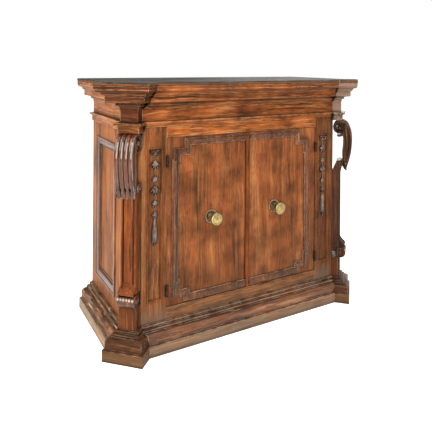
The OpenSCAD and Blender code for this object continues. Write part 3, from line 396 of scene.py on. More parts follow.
def agedMetal(name, s):
    material, tree = newMaterial(name)
    where = addNode(tree, "ShaderNodeTexCoord")
    cloud, skin = [addNode(tree, "ShaderNodeTexNoise", {"Scale": 1 / (s[part] * mm), "Detail": detail},
                           {"Vector": where.outputs["Object"]}).outputs["Fac"]
                   for part, detail in (("cloud", 4.0), ("skin", 3.0))]
    films = [(place, linearColour(s[film])) for place, film in zip(cloudStops, ("dull", "bright"))]
    tone = addNode(tree, "ShaderNodeValToRGB", {"stops": films}, {"Fac": cloud})
    openness, rounded, arris = wearSigns(tree, nookReach, s["edge"])
    amounts = {}
    for part, source, least, most in (
            ("nook", openness, 0.0, mostDirt),
            ("arris", arris, 0.0, mostDirt),
            ("gloss", cloud, s["rough"] - glossSpread, s["rough"] + glossSpread)):
        start, full = metalWindows[part]
        amounts[part] = addNode(tree, "ShaderNodeMapRange",
                                {"From Min": start, "From Max": full, "To Min": least, "To Max": most},
                                {"Value": source}).outputs[0]
    colour = tone.outputs[0]
    for part, over in (("nook", "dirt"), ("arris", "bare")):
        colour = addNode(tree, "ShaderNodeMix", {"data_type": "RGBA", 7: linearColour(s[over])},
                         {0: amounts[part], 6: colour}).outputs[2]
    relief = addNode(tree, "ShaderNodeBump", {"Strength": s["bump"], "Distance": reliefDepth * mm},
                     {"Height": skin, "Normal": rounded})
    shader = addNode(tree, "ShaderNodeBsdfPrincipled", {"Metallic": s["metallic"]},
                     {"Base Color": colour, "Roughness": amounts["gloss"], "Normal": relief.outputs[0]})
    addNode(tree, "ShaderNodeOutputMaterial", None, {"Surface": shader.outputs[0]})
    return material


metals = {name: agedMetal(name, stock) for name, stock in metalStock.items()}
print("metals ready:", len(metals))

# finish -> its nodes; a star stands for left and for right
dressing = {
    "doorWalnut": "*_door_boards", "beadWalnut": "closing_bead",
    "frameWalnut": "*_pilaster *_post",
    "railWalnut": "top_rail front_necking", "footRailWalnut": "bottom_rail",
    "corniceWalnut": "front_frieze front_cornice",
    "sideWalnut": "*_side_frame *_side_panel",
    "sideRailWalnut": "side_neckings side_friezes side_cornices",
    "leftBlockWalnut": "frieze_blocks cornice_blocks",
    "leftCapWalnut": "left_cap", "rightBlockLitWalnut": "right_cap",
    "plinthWalnut": "plinth_front", "plinthSideWalnut": "plinth_*_side",
    "plinthBlockWalnut": "plinth_*_block",
    "mouldingWalnut": "*_door_moulding", "panelMouldingWalnut": "*_side_moulding",
    "pilasterMouldingWalnut": "*_pilaster_moulding",
    "leftCarvedWalnut": "left_console", "rightCarvedWalnut": "right_console",
    "pendantWalnut": "*_pendant", "dieWalnut": "*_die",
    "blackenedTop": "top_board top_corners",
    "poplarInside": "floor_board shelf shelf_bearers plinth_back_rail *_door_battens",
    "poplarBack": "back_boards",
    "rubbedBrass": "*_knob", "darkBronze": "*_rose",
    "blackIron": "*_hinge_plates *_door_hinges *_knob_nut",
}
stock = {**woods, **metals}
bare = set(nodes)
for finishName, members in dressing.items():
    for member in sorted({m.replace("*", side) for m in members.split() for side in ("left", "right")}):
        nodes[member].data.materials.clear()
        nodes[member].data.materials.append(stock[finishName])
        bare.remove(member)
print("bare nodes:", sorted(bare))


def smoothStep(t):
    t = min(max(t, 0.0), 1.0)
    return t * t * (3 - 2 * t)


def addLoft(bm, loops, slot=0):
    # skins closed loops of points, one after another, and closes both ends
    rings = [[bm.verts.new(p) for p in loop] for loop in loops]
    faces = []
    for a, b in zip(rings, rings[1:]):
        for i in range(len(a)):
            j = (i + 1) % len(a)
            faces.append(bm.faces.new((a[i], a[j], b[j], b[i])))
    for ring in (rings[0], rings[-1]):
        faces += bmesh.ops.triangle_fill(
            bm, use_beauty=True, edges=[bm.edges.get((ring[i], ring[(i + 1) % len(ring)]))
                                        for i in range(len(ring))])["geom"]
    faces = [f for f in faces if isinstance(f, bmesh.types.BMFace)]
    for face in faces:
        face.material_index = slot
    bmesh.ops.recalc_face_normals(bm, faces=faces)


def addGrid(bm, columns, rows, front, back):
    # a closed pad: front(i, j) and back(i, j) give the points of its two skins
    def skin(point):
        return [[bm.verts.new(point(i, j)) for j in range(rows + 1)] for i in range(columns + 1)]
    a, b = skin(front), skin(back)
    faces = []
    for i in range(columns):
        for j in range(rows):
            faces.append(bm.faces.new((a[i][j], a[i + 1][j], a[i + 1][j + 1], a[i][j + 1])))
            faces.append(bm.faces.new((b[i][j], b[i][j + 1], b[i + 1][j + 1], b[i + 1][j])))
    edge = ([(i, 0) for i in range(columns)] + [(columns, j) for j in range(rows)]
            + [(i, rows) for i in range(columns, 0, -1)] + [(0, j) for j in range(rows, 0, -1)])
    for (i, j), (k, m) in zip(edge, edge[1:] + edge[:1]):
        faces.append(bm.faces.new((a[i][j], b[i][j], b[k][m], a[k][m])))
    bmesh.ops.recalc_face_normals(bm, faces=faces)


def addLathe(bm, profile, steps, place=Matrix.Identity(4)):
    # profile: radius and height along +Z, from the axis to the axis; a radius of 0 is a pole
    turns = [2 * math.pi * k / steps for k in range(steps)]
    rings = []
    for radius, height in profile:
        if radius == 0:
            ring = [(0, 0, height)]
        else:
            ring = [(radius * math.cos(t), radius * math.sin(t), height) for t in turns]
        rings.append([bm.verts.new(place @ Vector(p)) for p in ring])
    faces = []
    for a, b in zip(rings, rings[1:]):
        for k in range(steps):
            n = (k + 1) % steps
            corners = [a[k % len(a)], a[n % len(a)], b[n % len(b)], b[k % len(b)]]
            faces.append(bm.faces.new(list(dict.fromkeys(corners))))
    bmesh.ops.recalc_face_normals(bm, faces=faces)


def addMesh(bm, mesh, place=Matrix.Identity(4), slot=0):
    # copies a mesh into bm, moved by a matrix, with its faces in one material slot
    firstVert, firstFace = len(bm.verts), len(bm.faces)
    bm.from_mesh(mesh)
    bm.verts.ensure_lookup_table()
    bm.faces.ensure_lookup_table()
    for face in bm.faces[firstFace:]:
        face.material_index = slot
    bmesh.ops.transform(bm, matrix=place, verts=bm.verts[firstVert:])


def asMesh(name, bm):
    mesh = bpy.data.meshes.new(name)
    bm.to_mesh(mesh)
    bm.free()
    return mesh


def makePiece(name, bm, finishes, place, sharp):
    # places the mesh, smooths it up to sharp edges and gives it its finishes
    bmesh.ops.transform(bm, matrix=place, verts=bm.verts)
    mesh = asMesh(name, bm)
    mesh.shade_smooth()
    mesh.set_sharp_from_angle(angle=math.radians(sharp))
    for finish in finishes:
        mesh.materials.append(finish)
    return newObject(name, mesh)


def grown(tree, inputs):
    # runs a Geometry Nodes tree with these named inputs and returns a plain mesh
    holder = newObject("grower", bpy.data.meshes.new("grower"))
    modifier = holder.modifiers.new("grow", "NODES")
    modifier.node_group = tree
    for item in tree.interface.items_tree:
        if item.item_type == "SOCKET" and item.in_out == "INPUT" and item.name in inputs:
            modifier[item.identifier] = inputs[item.name]
    mesh = bpy.data.meshes.new_from_object(holder.evaluated_get(bpy.context.evaluated_depsgraph_get()))
    bpy.data.objects.remove(holder)
    return mesh


def newTree(name, inputs):
    # inputs: name -> (kind of socket, default)
    tree = bpy.data.node_groups.new(name, "GeometryNodeTree")
    tree.interface.new_socket(name="Mesh", in_out="OUTPUT", socket_type="NodeSocketGeometry")
    for label, (kind, default) in inputs.items():
        socket = tree.interface.new_socket(name=label, in_out="INPUT", socket_type=kind)
        if default is not None:
            socket.default_value = default
    return tree, addNode(tree, "NodeGroupInput").outputs


def endTree(tree, copies):
    real = addNode(tree, "GeometryNodeRealizeInstances", None, {0: copies})
    dressed = addNode(tree, "GeometryNodeSetMaterial", {"Material": woods["pearlHighlightWalnut"]},
                      {"Geometry": real.outputs[0]})
    addNode(tree, "NodeGroupOutput", None, {0: dressed.outputs[0]})
    return tree


def beadRow():
    # round beads in a straight row, each a little different in size
    tree, given = newTree("beadRow", {"Count": ("NodeSocketInt", 6), "Step": ("NodeSocketVector", None),
                                      "Start": ("NodeSocketVector", None),
                                      "Radius": ("NodeSocketFloat", 5.0)})
    row = addNode(tree, "GeometryNodeMeshLine", {"mode": "OFFSET"},
                  {"Count": given["Count"], "Start Location": given["Start"], "Offset": given["Step"]})
    bead = addNode(tree, "GeometryNodeMeshUVSphere", {"Segments": 14, "Rings": 9},
                   {"Radius": given["Radius"]})
    size = addNode(tree, "FunctionNodeRandomValue", {"data_type": "FLOAT", 2: 0.9, 3: 1.08, "Seed": 4})
    copies = addNode(tree, "GeometryNodeInstanceOnPoints", None,
                     {"Points": row.outputs[0], "Instance": bead.outputs[0], "Scale": size.outputs[1]})
    return endTree(tree, copies.outputs[0])


def ringOf():
    # a shape repeated round a circle, turned to face outwards
    tree, given = newTree("ringOf", {"Count": ("NodeSocketInt", 24), "Radius": ("NodeSocketFloat", 20.0),
                                     "Shape": ("NodeSocketObject", None)})
    ring = addNode(tree, "GeometryNodeMeshCircle", None, {"Vertices": given["Count"],
                                                          "Radius": given["Radius"]})
    shape = addNode(tree, "GeometryNodeObjectInfo", None, {"Object": given["Shape"]})
    place = addNode(tree, "GeometryNodeInputPosition")
    facing = addNode(tree, "FunctionNodeAlignEulerToVector", {"axis": "X"}, {"Vector": place.outputs[0]})
    copies = addNode(tree, "GeometryNodeInstanceOnPoints", None,
                     {"Points": ring.outputs[0], "Instance": shape.outputs["Geometry"],
                      "Rotation": facing.outputs[0]})
    return endTree(tree, copies.outputs[0])


trees = {"beadRow": beadRow(), "ringOf": ringOf()}
print("trees ready:", len(trees))


# Scroll consoles, worked out in the pier's own frame: x out from the canted corner, y across it, z up
pierWide = 74.0

consoleSizes = {
    "bellyDown": 90, "height": 237, "out": 93,      # widest place below the cap, length, reach of the scroll
    "brow": 150, "sweep": 398,                      # radii above and below the widest place
    "thick": 42, "endThick": 24, "thinFrom": 0.35, "wide": 78,
    "volute": 31, "voluteGap": 4, "voluteDown": 7, "voluteTurn": 500, "voluteThick": 0.5, "joinTurn": 30,
    "voluteSteps": 84, "browSteps": 16, "sweepSteps": 56, "columns": 48,
    "eye": 9, "eyeRim": 1.5, "eyeOut": 4,
    "reeds": 4, "reedDeep": 8.5,
    "lipSteps": 6, "lipOut": 5.0, "lipThin": 8,     # the leaf's lip turns outwards and thins
    "lobe": 5, "lobeSteps": 10,                     # lobes at the ends of the reeds
    "drillDeep": 7, "drillFrom": 11, "drillSteps": 5, "drillStep": 2.8, "drillWide": 22,
    # the side of the band: a round rim, a groove, a sunk face and a small inner bead
    "sideCut": ((0.04, 0.0), (0.1, 1.6), (0.19, 2.4), (0.28, 1.6), (0.34, -1.0), (0.38, -3.2),
                (0.43, -3.2), (0.47, -1.4), (0.6, -0.6), (0.72, -1.4), (0.78, -3.0), (0.84, -0.6),
                (0.92, 0.4), (1.0, -1.5)),
    "sideIn": 2.5, "sideDeep": 1.2, "backIn": 4,
    # the small leaf that hooks back under the volute: along and up from its centre, half the thickness
    "hook": ((20, -24, 8.0), (12, -31, 7.0), (4, -35.5, 6.0), (-4, -37.5, 5.2), (-9, -37, 4.4),
             (-12.5, -35, 2.6)),
    "midVolute": 16.5, "midOut": 35, "midHalf": 42.5, "lean": 29, "leanUnder": 16, "headOut": 10,
    "lowVolute": 24.5, "lowOut": 17, "lowHalf": 36, "tipGap": 2,
    "stripThick": 35, "stripWide": 66, "stripColumns": 44, "beadRadius": 5,
    "headLevels": 16, "midLevels": 24, "footLevels": 26, "neckDown": 6, "leanPower": 1.2,
    "coreIn": 4, "coreOut": 6, "coreGap": 1,        # block behind the lower roll
    "panelWide": 38, "panelProud": 4.5, "panelEase": 2.5,
    "grooveOut": 3.0, "grooveHalf": 1.6, "grooveDeep": 1.8,
    "stripCut": ((0.86, 0.0), (0.8, -2.2), (0.68, -2.2), (0.6, 0.0), (0.3, 0.0), (0.24, -1.6), (0.16, 0.0),
                 (0.0, 0.0)),
    "fineTall": 78, "fineStep": 3.0,                # the foot of the strip is cut finer than the rest
    "fanTip": 27, "flareTall": 40, "flarePower": 1.3,
    "fanRadius": 26, "fanFlutes": 7, "fanDown": 4, "fluteDeep": 1.3, "fluteEase": 10,
    "archWide": 6, "archFoot": 1.0, "archRise": 2.2,
    "pearls": 6, "pearlRadius": 5.4, "pearlStep": 11.8, "pearlTurn": 27,
}


def pierFrame(side):
    # matrix from the pier's own frame in millimetres to the model, from the box of the plain die
    low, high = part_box(side + "_die")
    sign = -1 if side == "left" else 1
    outward = Vector((sign, -1, 0)).normalized()
    half = pierWide / 2 * outward.y
    inner = high[0] + half * mm if side == "left" else low[0] - half * mm
    across = Vector((-outward.y, outward.x, 0))
    turn = Matrix((outward * mm, across * mm, Vector((0, 0, mm)))).transposed().to_4x4()
    return Matrix.Translation((inner, high[1] + half * mm, 0)) @ turn


reedCut = {"shoulder": 0.62, "fall": 0.22, "bow": 1.25}  # share of the half width, drop of the crown there


def reedShape(y, half, count):
    # 1 on the crown of a reed, 0 in the cut between two: a low crown, slanting shoulders, steep sides
    edge, fall = reedCut["shoulder"], reedCut["fall"]
    place = (y + half) / (2 * half) * count
    u = abs(2 * (place - math.floor(place)) - 1) if 0 < place < count else 1.0
    if u < edge:
        return 1 - fall * (u / edge) ** reedCut["bow"]
    return (1 - fall) * math.sqrt(max(0.0, 1 - ((u - edge) / (1 - edge)) ** 2))


def scrollRoute(s, capZ, centre):
    # outer edge of the band, eye to lip: point, outward direction, thickness, how deep the reeds are cut
    def outwards(angle):
        return Vector((math.cos(angle), math.sin(angle)))

    bellyZ = capZ - s["bellyDown"]
    browCentre = Vector((s["out"] - s["brow"], bellyZ))
    sweepCentre = Vector((s["out"] - s["sweep"], bellyZ))
    join = math.radians(s["joinTurn"])
    arm = browCentre + s["brow"] * outwards(join) - centre
    startAngle = math.atan2(arm.y, arm.x)
    shrink = math.log(arm.length / s["volute"]) / (math.pi - startAngle)
    joinThick = arm.length * s["voluteThick"]
    end = math.asin((s["height"] - s["bellyDown"]) / s["sweep"])
    route = []
    for k in range(s["voluteSteps"], 0, -1):
        turned = math.radians(s["voluteTurn"]) * k / s["voluteSteps"]
        radius = arm.length * math.exp(-shrink * turned)
        out = outwards(startAngle + turned)
        cut = smoothStep((math.pi - turned) / 2)
        route.append((centre + radius * out, out, radius * s["voluteThick"], cut))
    for k in range(s["browSteps"] + 1):
        out = outwards(join * (1 - k / s["browSteps"]))
        thick = joinThick + (s["thick"] - joinThick) * smoothStep(2 * k / s["browSteps"])
        route.append((browCentre + s["brow"] * out, out, thick, 1.0))
    for k in range(1, s["sweepSteps"] + 1):
        share = k / s["sweepSteps"]
        out = outwards(-end * share)
        lip = smoothStep((k - s["sweepSteps"] + s["lipSteps"]) / s["lipSteps"])
        thinned = smoothStep((share - s["thinFrom"]) / (1 - s["thinFrom"]))
        thick = s["thick"] + (s["endThick"] - s["thick"]) * thinned
        thick -= s["lipThin"] * lip
        route.append((sweepCentre + (s["sweep"] + s["lipOut"] * lip) * out, out, thick, 1.0))
    return route


def upperScroll(bm, s, capZ):
    centre = Vector((s["volute"] + s["voluteGap"], capZ - s["volute"] - s["voluteDown"]))
    route = scrollRoute(s, capZ, centre)
    half = s["wide"] / 2
    reedWide = s["wide"] / s["reeds"]
    loops = []
    for index, (point, out, thick, cut) in enumerate(route):
        fromEnd = len(route) - 1 - index
        fromDrill = fromEnd - s["drillFrom"]
        loop = []
        for i in range(s["columns"] + 1):
            y = -half + s["wide"] * i / s["columns"]
            crown = reedShape(y, half, s["reeds"])
            depth = cut * s["reedDeep"] * (1 - crown)
            if abs(fromDrill) < s["drillSteps"]:  # drilled eyes between the leaf's lobes
                away = math.hypot((y / reedWide - round(y / reedWide)) * reedWide, fromDrill * s["drillStep"])
                depth += s["drillDeep"] * math.exp(-away ** 2 / s["drillWide"])
            lobe = s["lobe"] * crown * smoothStep((s["lobeSteps"] - fromEnd) / s["lobeSteps"])
            spot = point - depth * out + lobe * Vector((out.y, -out.x))
            loop.append((spot.x, y, spot.y))
        cheek = [(point - share * thick * out, half - s["sideIn"] + bulge * s["sideDeep"])
                 for share, bulge in s["sideCut"]]
        under = point - thick * out
        loop += [(spot.x, y, spot.y) for spot, y in cheek]
        loop += [(under.x, (half - s["backIn"]) * (1 - 2 * i / 8), under.y) for i in range(1, 8)]
        loop += [(spot.x, -y, spot.y) for spot, y in reversed(cheek)]
        loops.append(loop)
    addLoft(bm, loops)
    eye = [(0, half + s["eyeOut"]), (s["eye"] * 0.6, half + s["eyeOut"] - 1), (s["eye"], half),
           (s["eye"] + s["eyeRim"], half - 5)]
    addLathe(bm, [(radius, -z) for radius, z in eye] + eye[::-1], 24,
             Matrix.Translation((centre.x, 0, centre.y)) @ Matrix.Rotation(math.pi / 2, 4, "X"))
    hook = s["hook"]
    route = []
    for k, (x, z, size) in enumerate(hook):
        ahead = Vector(hook[min(k + 1, len(hook) - 1)][:2]) - Vector(hook[max(k - 1, 0)][:2])
        route.append((centre + Vector((x, z)), Vector((ahead.y, -ahead.x)).normalized(), size))
    addTongue(bm, route, half - s["backIn"])


def addTongue(bm, route, half):
    # a flat tongue as wide as the console: place, direction of its thickness and half of it
    section = [(-0.5, -1), (-1, -0.94), (-1, 0.94), (-0.5, 1), (0.5, 1), (1, 0.94), (1, -0.94), (0.5, -1)]
    addLoft(bm, [[(spot.x + n * size * out.x, y * half, spot.y + n * size * out.y) for n, y in section]
                 for spot, out, size in route])


voluteSizes = {
    "eye": 0.27, "eyeRings": (0.1, 0.2), "inner": 0.3,              # shares of the radius
    "steps": 22, "columns": 72,
    "barrel": (0.86, 0.6, 0.3, 0, -0.3, -0.6, -0.86),               # shares of half the width
    "swell": 0.7, "sunk": 3.5, "dome": 2.5, "rimLow": 0.4, "rimSteep": 12,
}


def addVolute(bm, centre, radius, half, turns, spin, cushion, relief):
    # a drum whose two cheeks carry a raised spiral round a domed eye
    s = voluteSizes
    eye, inner, steps = s["eye"], s["inner"], s["steps"]
    angles = [2 * math.pi * k / s["columns"] for k in range(s["columns"])]
    radii = [*s["eyeRings"], eye] + [inner + (1 - inner) * k / steps for k in range(steps + 1)]
    barrel = [(1.0 + cushion * math.cos(math.pi * w / 2) ** s["swell"], w) for w in s["barrel"]]

    def cheek(r, a):
        if r < eye:
            return half - s["sunk"] + relief + s["dome"] * math.sqrt(1 - (r / eye) ** 2)
        place = math.log(r) / math.log(inner) * turns + spin * a / (2 * math.pi)
        u = 2 * (place - math.floor(place)) - 1
        inwards = smoothStep((1.0 - r) * s["rimSteep"])
        rise = math.sqrt(max(0.0, 1 - u ** 4)) * (s["rimLow"] + (1 - s["rimLow"]) * inwards)
        return half - s["sunk"] + relief * rise

    def ring(r, across):
        return [(centre[0] + r * radius * math.cos(a), across(a), centre[1] + r * radius * math.sin(a))
                for a in angles]

    loops = [ring(r, lambda a: cheek(r, a)) for r in radii]
    loops += [ring(r, lambda a: w * half) for r, w in barrel]
    loops += [ring(r, lambda a: -cheek(r, a)) for r in reversed(radii)]
    addLoft(bm, loops)


def stripFront(s, y, z, half, tipZ):
    # how far a point of the strip's front stands out: beads, a panel, and a fan in an arch at the foot
    away = abs(y)
    lift = 0.0
    bead = (away - (half - s["beadRadius"])) / s["beadRadius"]
    if abs(bead) < 1:
        lift = s["beadRadius"] * math.sqrt(1 - bead * bead)
    if z > tipZ + s["fanRadius"] + 2 * s["archWide"]:
        lift = max(lift, s["panelProud"] * smoothStep((s["panelWide"] / 2 - away) / s["panelEase"]))
    groove = (away - s["panelWide"] / 2 - s["grooveOut"]) / s["grooveHalf"]
    if abs(groove) < 1:
        lift -= s["grooveDeep"] * (1 - groove * groove)
    up = z - tipZ + s["fanDown"]
    reach = math.hypot(y, up)
    if reach < s["fanRadius"]:
        flute = abs(math.cos(math.atan2(up, y) * s["fanFlutes"]))
        lift = s["fluteDeep"] * flute * smoothStep(reach / s["fluteEase"])
    elif reach < s["fanRadius"] + s["archWide"]:
        lift = s["archFoot"] + s["archRise"] * math.sin(math.pi * (reach - s["fanRadius"]) / s["archWide"])
    return lift


def lowerStrip(bm, s, capZ, dieZ):
    leafZ = capZ - s["height"]
    leanZ = leafZ - s["leanUnder"]
    midCentre = (s["midOut"], leafZ + s["lean"])
    lowCentre = (s["lowVolute"] + s["lowOut"], dieZ + s["lowVolute"])
    tipZ = lowCentre[1] + s["lowVolute"] + s["tipGap"]
    neckZ, fineZ = leanZ - s["neckDown"], tipZ + s["fineTall"]
    half = s["stripWide"] / 2
    frontY = [-half + s["stripWide"] * i / s["stripColumns"] for i in range(s["stripColumns"] + 1)]
    levels = ([midCentre[1] - s["fineStep"] * k for k in range(s["headLevels"])]
              + [neckZ - (neckZ - fineZ) * k / s["midLevels"] for k in range(s["midLevels"] + 1)]
              + [fineZ - s["fineStep"] * k for k in range(1, s["footLevels"] + 1)])
    loops = []
    for z in levels:
        top = min(max((z - leanZ) / (midCentre[1] - leanZ), 0.0), 1.0)
        flare = smoothStep((tipZ + s["flareTall"] - z) / s["flareTall"]) ** s["flarePower"]
        front = s["stripThick"] + s["fanTip"] * flare + s["headOut"] * top
        backEdge = (s["midOut"] - s["midVolute"]) * top ** s["leanPower"]
        cheek = [(backEdge + (front - backEdge) * share, half + bulge) for share, bulge in s["stripCut"]]
        loops.append([(front + stripFront(s, y, z, half, tipZ), y, z) for y in frontY]
                     + [(x, y, z) for x, y in cheek] + [(x, -y, z) for x, y in reversed(cheek)])
    addLoft(bm, loops, 1)
    # core behind the roll, the two rolls, and a row of pearls across the one that stands on the die
    coreHalf = half - s["coreIn"]
    coreX = s["stripThick"] + s["coreOut"]
    addLoft(bm, [[(0, -coreHalf, z), (coreX, -coreHalf, z), (coreX, coreHalf, z), (0, coreHalf, z)]
                 for z in (tipZ + s["coreGap"], lowCentre[1])])
    pearlSpan = s["pearlStep"] * (s["pearls"] - 1)
    pearlAngle = math.radians(s["pearlTurn"])
    pearls = grown(trees["beadRow"], {
        "Count": s["pearls"], "Radius": s["pearlRadius"], "Step": (0.0, s["pearlStep"], 0.0),
        "Start": (lowCentre[0] + s["lowVolute"] * math.cos(pearlAngle), -pearlSpan / 2,
                  lowCentre[1] + s["lowVolute"] * math.sin(pearlAngle))})
    addMesh(bm, pearls, slot=2)
    addVolute(bm, midCentre, s["midVolute"], s["midHalf"], turns=1.0, spin=-1, cushion=0.0, relief=6.0)
    addVolute(bm, lowCentre, s["lowVolute"], s["lowHalf"], turns=1.4, spin=1, cushion=0.04, relief=5.0)


def makeConsole(side):
    s = consoleSizes
    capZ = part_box(side + "_cap")[0][2] / mm
    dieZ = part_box(side + "_die")[1][2] / mm
    bm = bmesh.new()
    upperScroll(bm, s, capZ)
    lowerStrip(bm, s, capZ, dieZ)
    stocks = [woods[side + "CarvedWalnut"], woods[side + "StripWalnut"], woods["pearlHighlightWalnut"]]
    piece = makePiece(side + "ScrollConsole", bm, stocks, pierFrame(side), 38)
    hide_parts(side + "_console")
    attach(piece, "case")


for side in ("left", "right"):
    makeConsole(side)
print("consoles ready")


def arcPoints(cx, cz, r, a0, a1, n):
    return [(cx + r * math.cos(math.radians(a0 + (a1 - a0) * k / n)),
             cz + r * math.sin(math.radians(a0 + (a1 - a0) * k / n))) for k in range(n + 1)]


# Mouldings round the side panels: a bead outside, a full round falling to a hollow and a lip on the panel
sideMouldSizes = {
    "wide": 40, "bead": 4.8, "quirk": 2.6, "quirkDeep": 1.4, "round": (12, 32), "roundFoot": 4.5,
    "hollow": 1.6, "lip": 2.4,
}


def addRing(bm, across, up, profile, spot):
    # carries a profile of (inwards, outwards) round a rectangle with true mitres
    rings = []
    for i, j in ((0, 0), (1, 0), (1, 1), (0, 1)):
        rings.append([bm.verts.new(spot(across[i] + (1 - 2 * i) * inside, proud,
                                        up[j] + (1 - 2 * j) * inside)) for inside, proud in profile])
    sides = []
    for k in range(4):
        here, ahead = rings[k], rings[(k + 1) % 4]
        for n in range(len(profile)):
            after = (n + 1) % len(profile)
            sides.append(bm.faces.new((here[n], ahead[n], ahead[after], here[after])))
    bmesh.ops.recalc_face_normals(bm, faces=sides)


def makeSideMoulding(side):
    s = sideMouldSizes
    low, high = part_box(side + "_side_moulding")
    rise = (high.x - low.x) / mm
    base = high.x if side == "left" else low.x
    outward = -mm if side == "left" else mm
    wide, bead, lip, hollow = s["wide"], s["bead"], s["lip"], s["hollow"]
    start, end = s["round"]
    quirkTop = rise - s["quirk"]
    tall = quirkTop - s["roundFoot"]
    profile = ([(0, 0), (0, rise - bead)] + arcPoints(bead, rise - bead, bead, 180, 0, 8)
               + [(2 * bead, quirkTop - s["quirkDeep"]), (start, quirkTop - s["quirkDeep"])]
               + [(start + (end - start) * math.sin(a), s["roundFoot"] + tall * math.cos(a))
                  for a in [math.pi / 2 * k / 12 for k in range(13)]]
               + [(end, hollow), (wide - 2 * lip, hollow)]
               + arcPoints(wide - lip, hollow, lip, 180, 0, 6) + [(wide, 0)])
    bm = bmesh.new()
    addRing(bm, (low.y / mm, high.y / mm), (low.z / mm, high.z / mm), profile,
            lambda y, x, z: (base + outward * x, y * mm, z * mm))
    piece = makePiece(side + "PanelMoulding", bm, [woods["panelMouldingWalnut"]], Matrix.Identity(4), 40)
    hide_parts(side + "_side_moulding")
    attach(piece, "case")


for side in ("left", "right"):
    makeSideMoulding(side)
print("side mouldings ready")


# Carved pendants in the sunk panels: a bow, bell husks and a flower on a stem, and a long drop
pendantSizes = {
    "stemDown": 14, "stem": (5, 3.2),                                 # start below the top, width and relief
    "bowIn": 2, "bowWide": 17, "bowTall": 14, "bowDown": 11, "bowSkew": 3, "bowSteps": 16, "bow": (4.6, 5.5),
    "knot": 5.0, "knotOut": 3,
    "tails": ((1, 13), (5, 20), (9, 24), (15, 25)), "tail": (6, 4.5),
    # each leaf of a husk: degrees, share of the length, share of the width
    "husk": (33, 19), "huskLeaves": ((-46, 0.8, 0.72), (46, 0.8, 0.72), (-21, 0.95, 0.72), (21, 0.95, 0.72),
                                     (0, 1.06, 0.8)),
    "huskProud": (0.75, 0.3), "huskTip": 0.62, "huskCurl": 0.35, "knop": 5.2, "knopOut": 2.5, "knopUp": 1.5,
    "ballFlat": 0.9,
    "huskTop": 44, "spanLess": 36, "rows": 4.1, "huskRows": ((0, 1.0), (1.9, 1.05), (2.95, 0.8)),
    "flowerRow": 1.35, "petals": 8, "petal": (15, 8.5, 4.5), "petalTip": 0.8, "petalCurl": 0.2,
    "petalOut": 1, "flowerEye": 4.2, "eyeOut": 4,
    "drop": (128, 38), "proud": 8.0,
    "dropSide": (0.93, 0.52), "dropLean": 4.5, "dropTips": (1.05, 1.1), "dropCurl": 0.1,
    "bud": (0.4, 1.35, 2.0), "lastHusk": (8, 0.75),     # bud: width and relief as shares, ridge
}
leafSizes = {
    "rows": 12, "columns": 8,
    "full": 0.75, "narrowing": 0.04, "leastHalf": 0.25,     # outline: power of the swelling, loss to the tip
    "backIn": 0.6, "bodyFrom": 0.12, "bodySpan": 0.8,
    "ridgeSharp": 4, "hollow": 0.9, "hollowTurn": 9, "leastProud": 0.3,
}


def addLeaf(bm, long, wide, proud, turn, place, tip, curl, ridge=1.2):
    # a carved leaf that hangs down from its place: x across, y out of the panel (towards -), z up
    s = leafSizes
    c, sn = math.cos(turn), math.sin(turn)
    rows, columns = s["rows"], s["columns"]

    def spot(i, j, front):
        t = i / rows
        across = j / columns * 2 - 1
        half = wide / 2 * math.sin(math.pi * min(1, t ** tip)) ** s["full"] * (1 - s["narrowing"] * t)
        x = across * max(half, s["leastHalf"])
        z = -t * long
        out = -s["backIn"]
        if front:  # a swelling body with a ridge, hollowed either side of it, and a tip that curls
            body = math.sqrt(max(0.0, 1 - across * across))
            lift = (proud * math.sin(math.pi * (s["bodyFrom"] + s["bodySpan"] * t)) * body
                    + ridge * max(0, 1 - abs(across) * s["ridgeSharp"]))
            hollow = s["hollow"] * math.cos(across * s["hollowTurn"])
            lift -= hollow * (1 - abs(across)) * math.sin(math.pi * t)
            out = max(lift + curl * t ** 3 * proud, s["leastProud"])
        return place[0] + c * x - sn * z, -out, place[1] + sn * x + c * z

    addGrid(bm, rows, columns, lambda i, j: spot(i, j, True), lambda i, j: spot(i, j, False))


def addBall(bm, centre, radius, squash=1.0):
    profile = [(radius * math.sin(math.pi * k / 8) if 0 < k < 8 else 0, -radius * math.cos(math.pi * k / 8))
               for k in range(9)]
    addLathe(bm, profile, 16, Matrix.Translation(centre) @ Matrix.Diagonal((1, squash, 1, 1)))


ribbonSizes = {"thinnest": 0.35, "start": 0.7, "past": 0.4, "power": 0.4, "sunk": 0.1, "columns": 10}


def addRibbon(bm, points, wide, proud):
    # a round-backed band along points (across, up), thinner at its ends
    s = ribbonSizes
    sunk = s["sunk"]
    turns = [math.pi * 2 * i / s["columns"] for i in range(s["columns"])]
    loops = []
    for k, (x, z) in enumerate(points):
        ahead = Vector(points[min(k + 1, len(points) - 1)]) - Vector(points[max(k - 1, 0)])
        side = Vector((-ahead.y, ahead.x)).normalized()
        swell = math.sin(math.pi * (k + s["start"]) / (len(points) + s["past"])) ** s["power"]
        taper = s["thinnest"] + (1 - s["thinnest"]) * swell
        loops.append([(x + side.x * wide / 2 * taper * math.cos(a), -proud * taper * max(math.sin(a), -sunk),
                       z + side.y * wide / 2 * taper * math.cos(a)) for a in turns])
    addLoft(bm, loops)


def addHusk(bm, s, top, scale):
    # three leaves of a bell flower over two more, under a small knop
    long, wide = s["husk"]
    least, more = s["huskProud"]
    for degrees, share, broad in s["huskLeaves"]:
        addLeaf(bm, long * scale * share, wide * scale * broad, s["proud"] * (least + more * share),
                math.radians(degrees), (0, top), s["huskTip"], s["huskCurl"])
    addBall(bm, (0, -s["knopOut"], top + s["knopUp"]), s["knop"] * scale, s["ballFlat"])


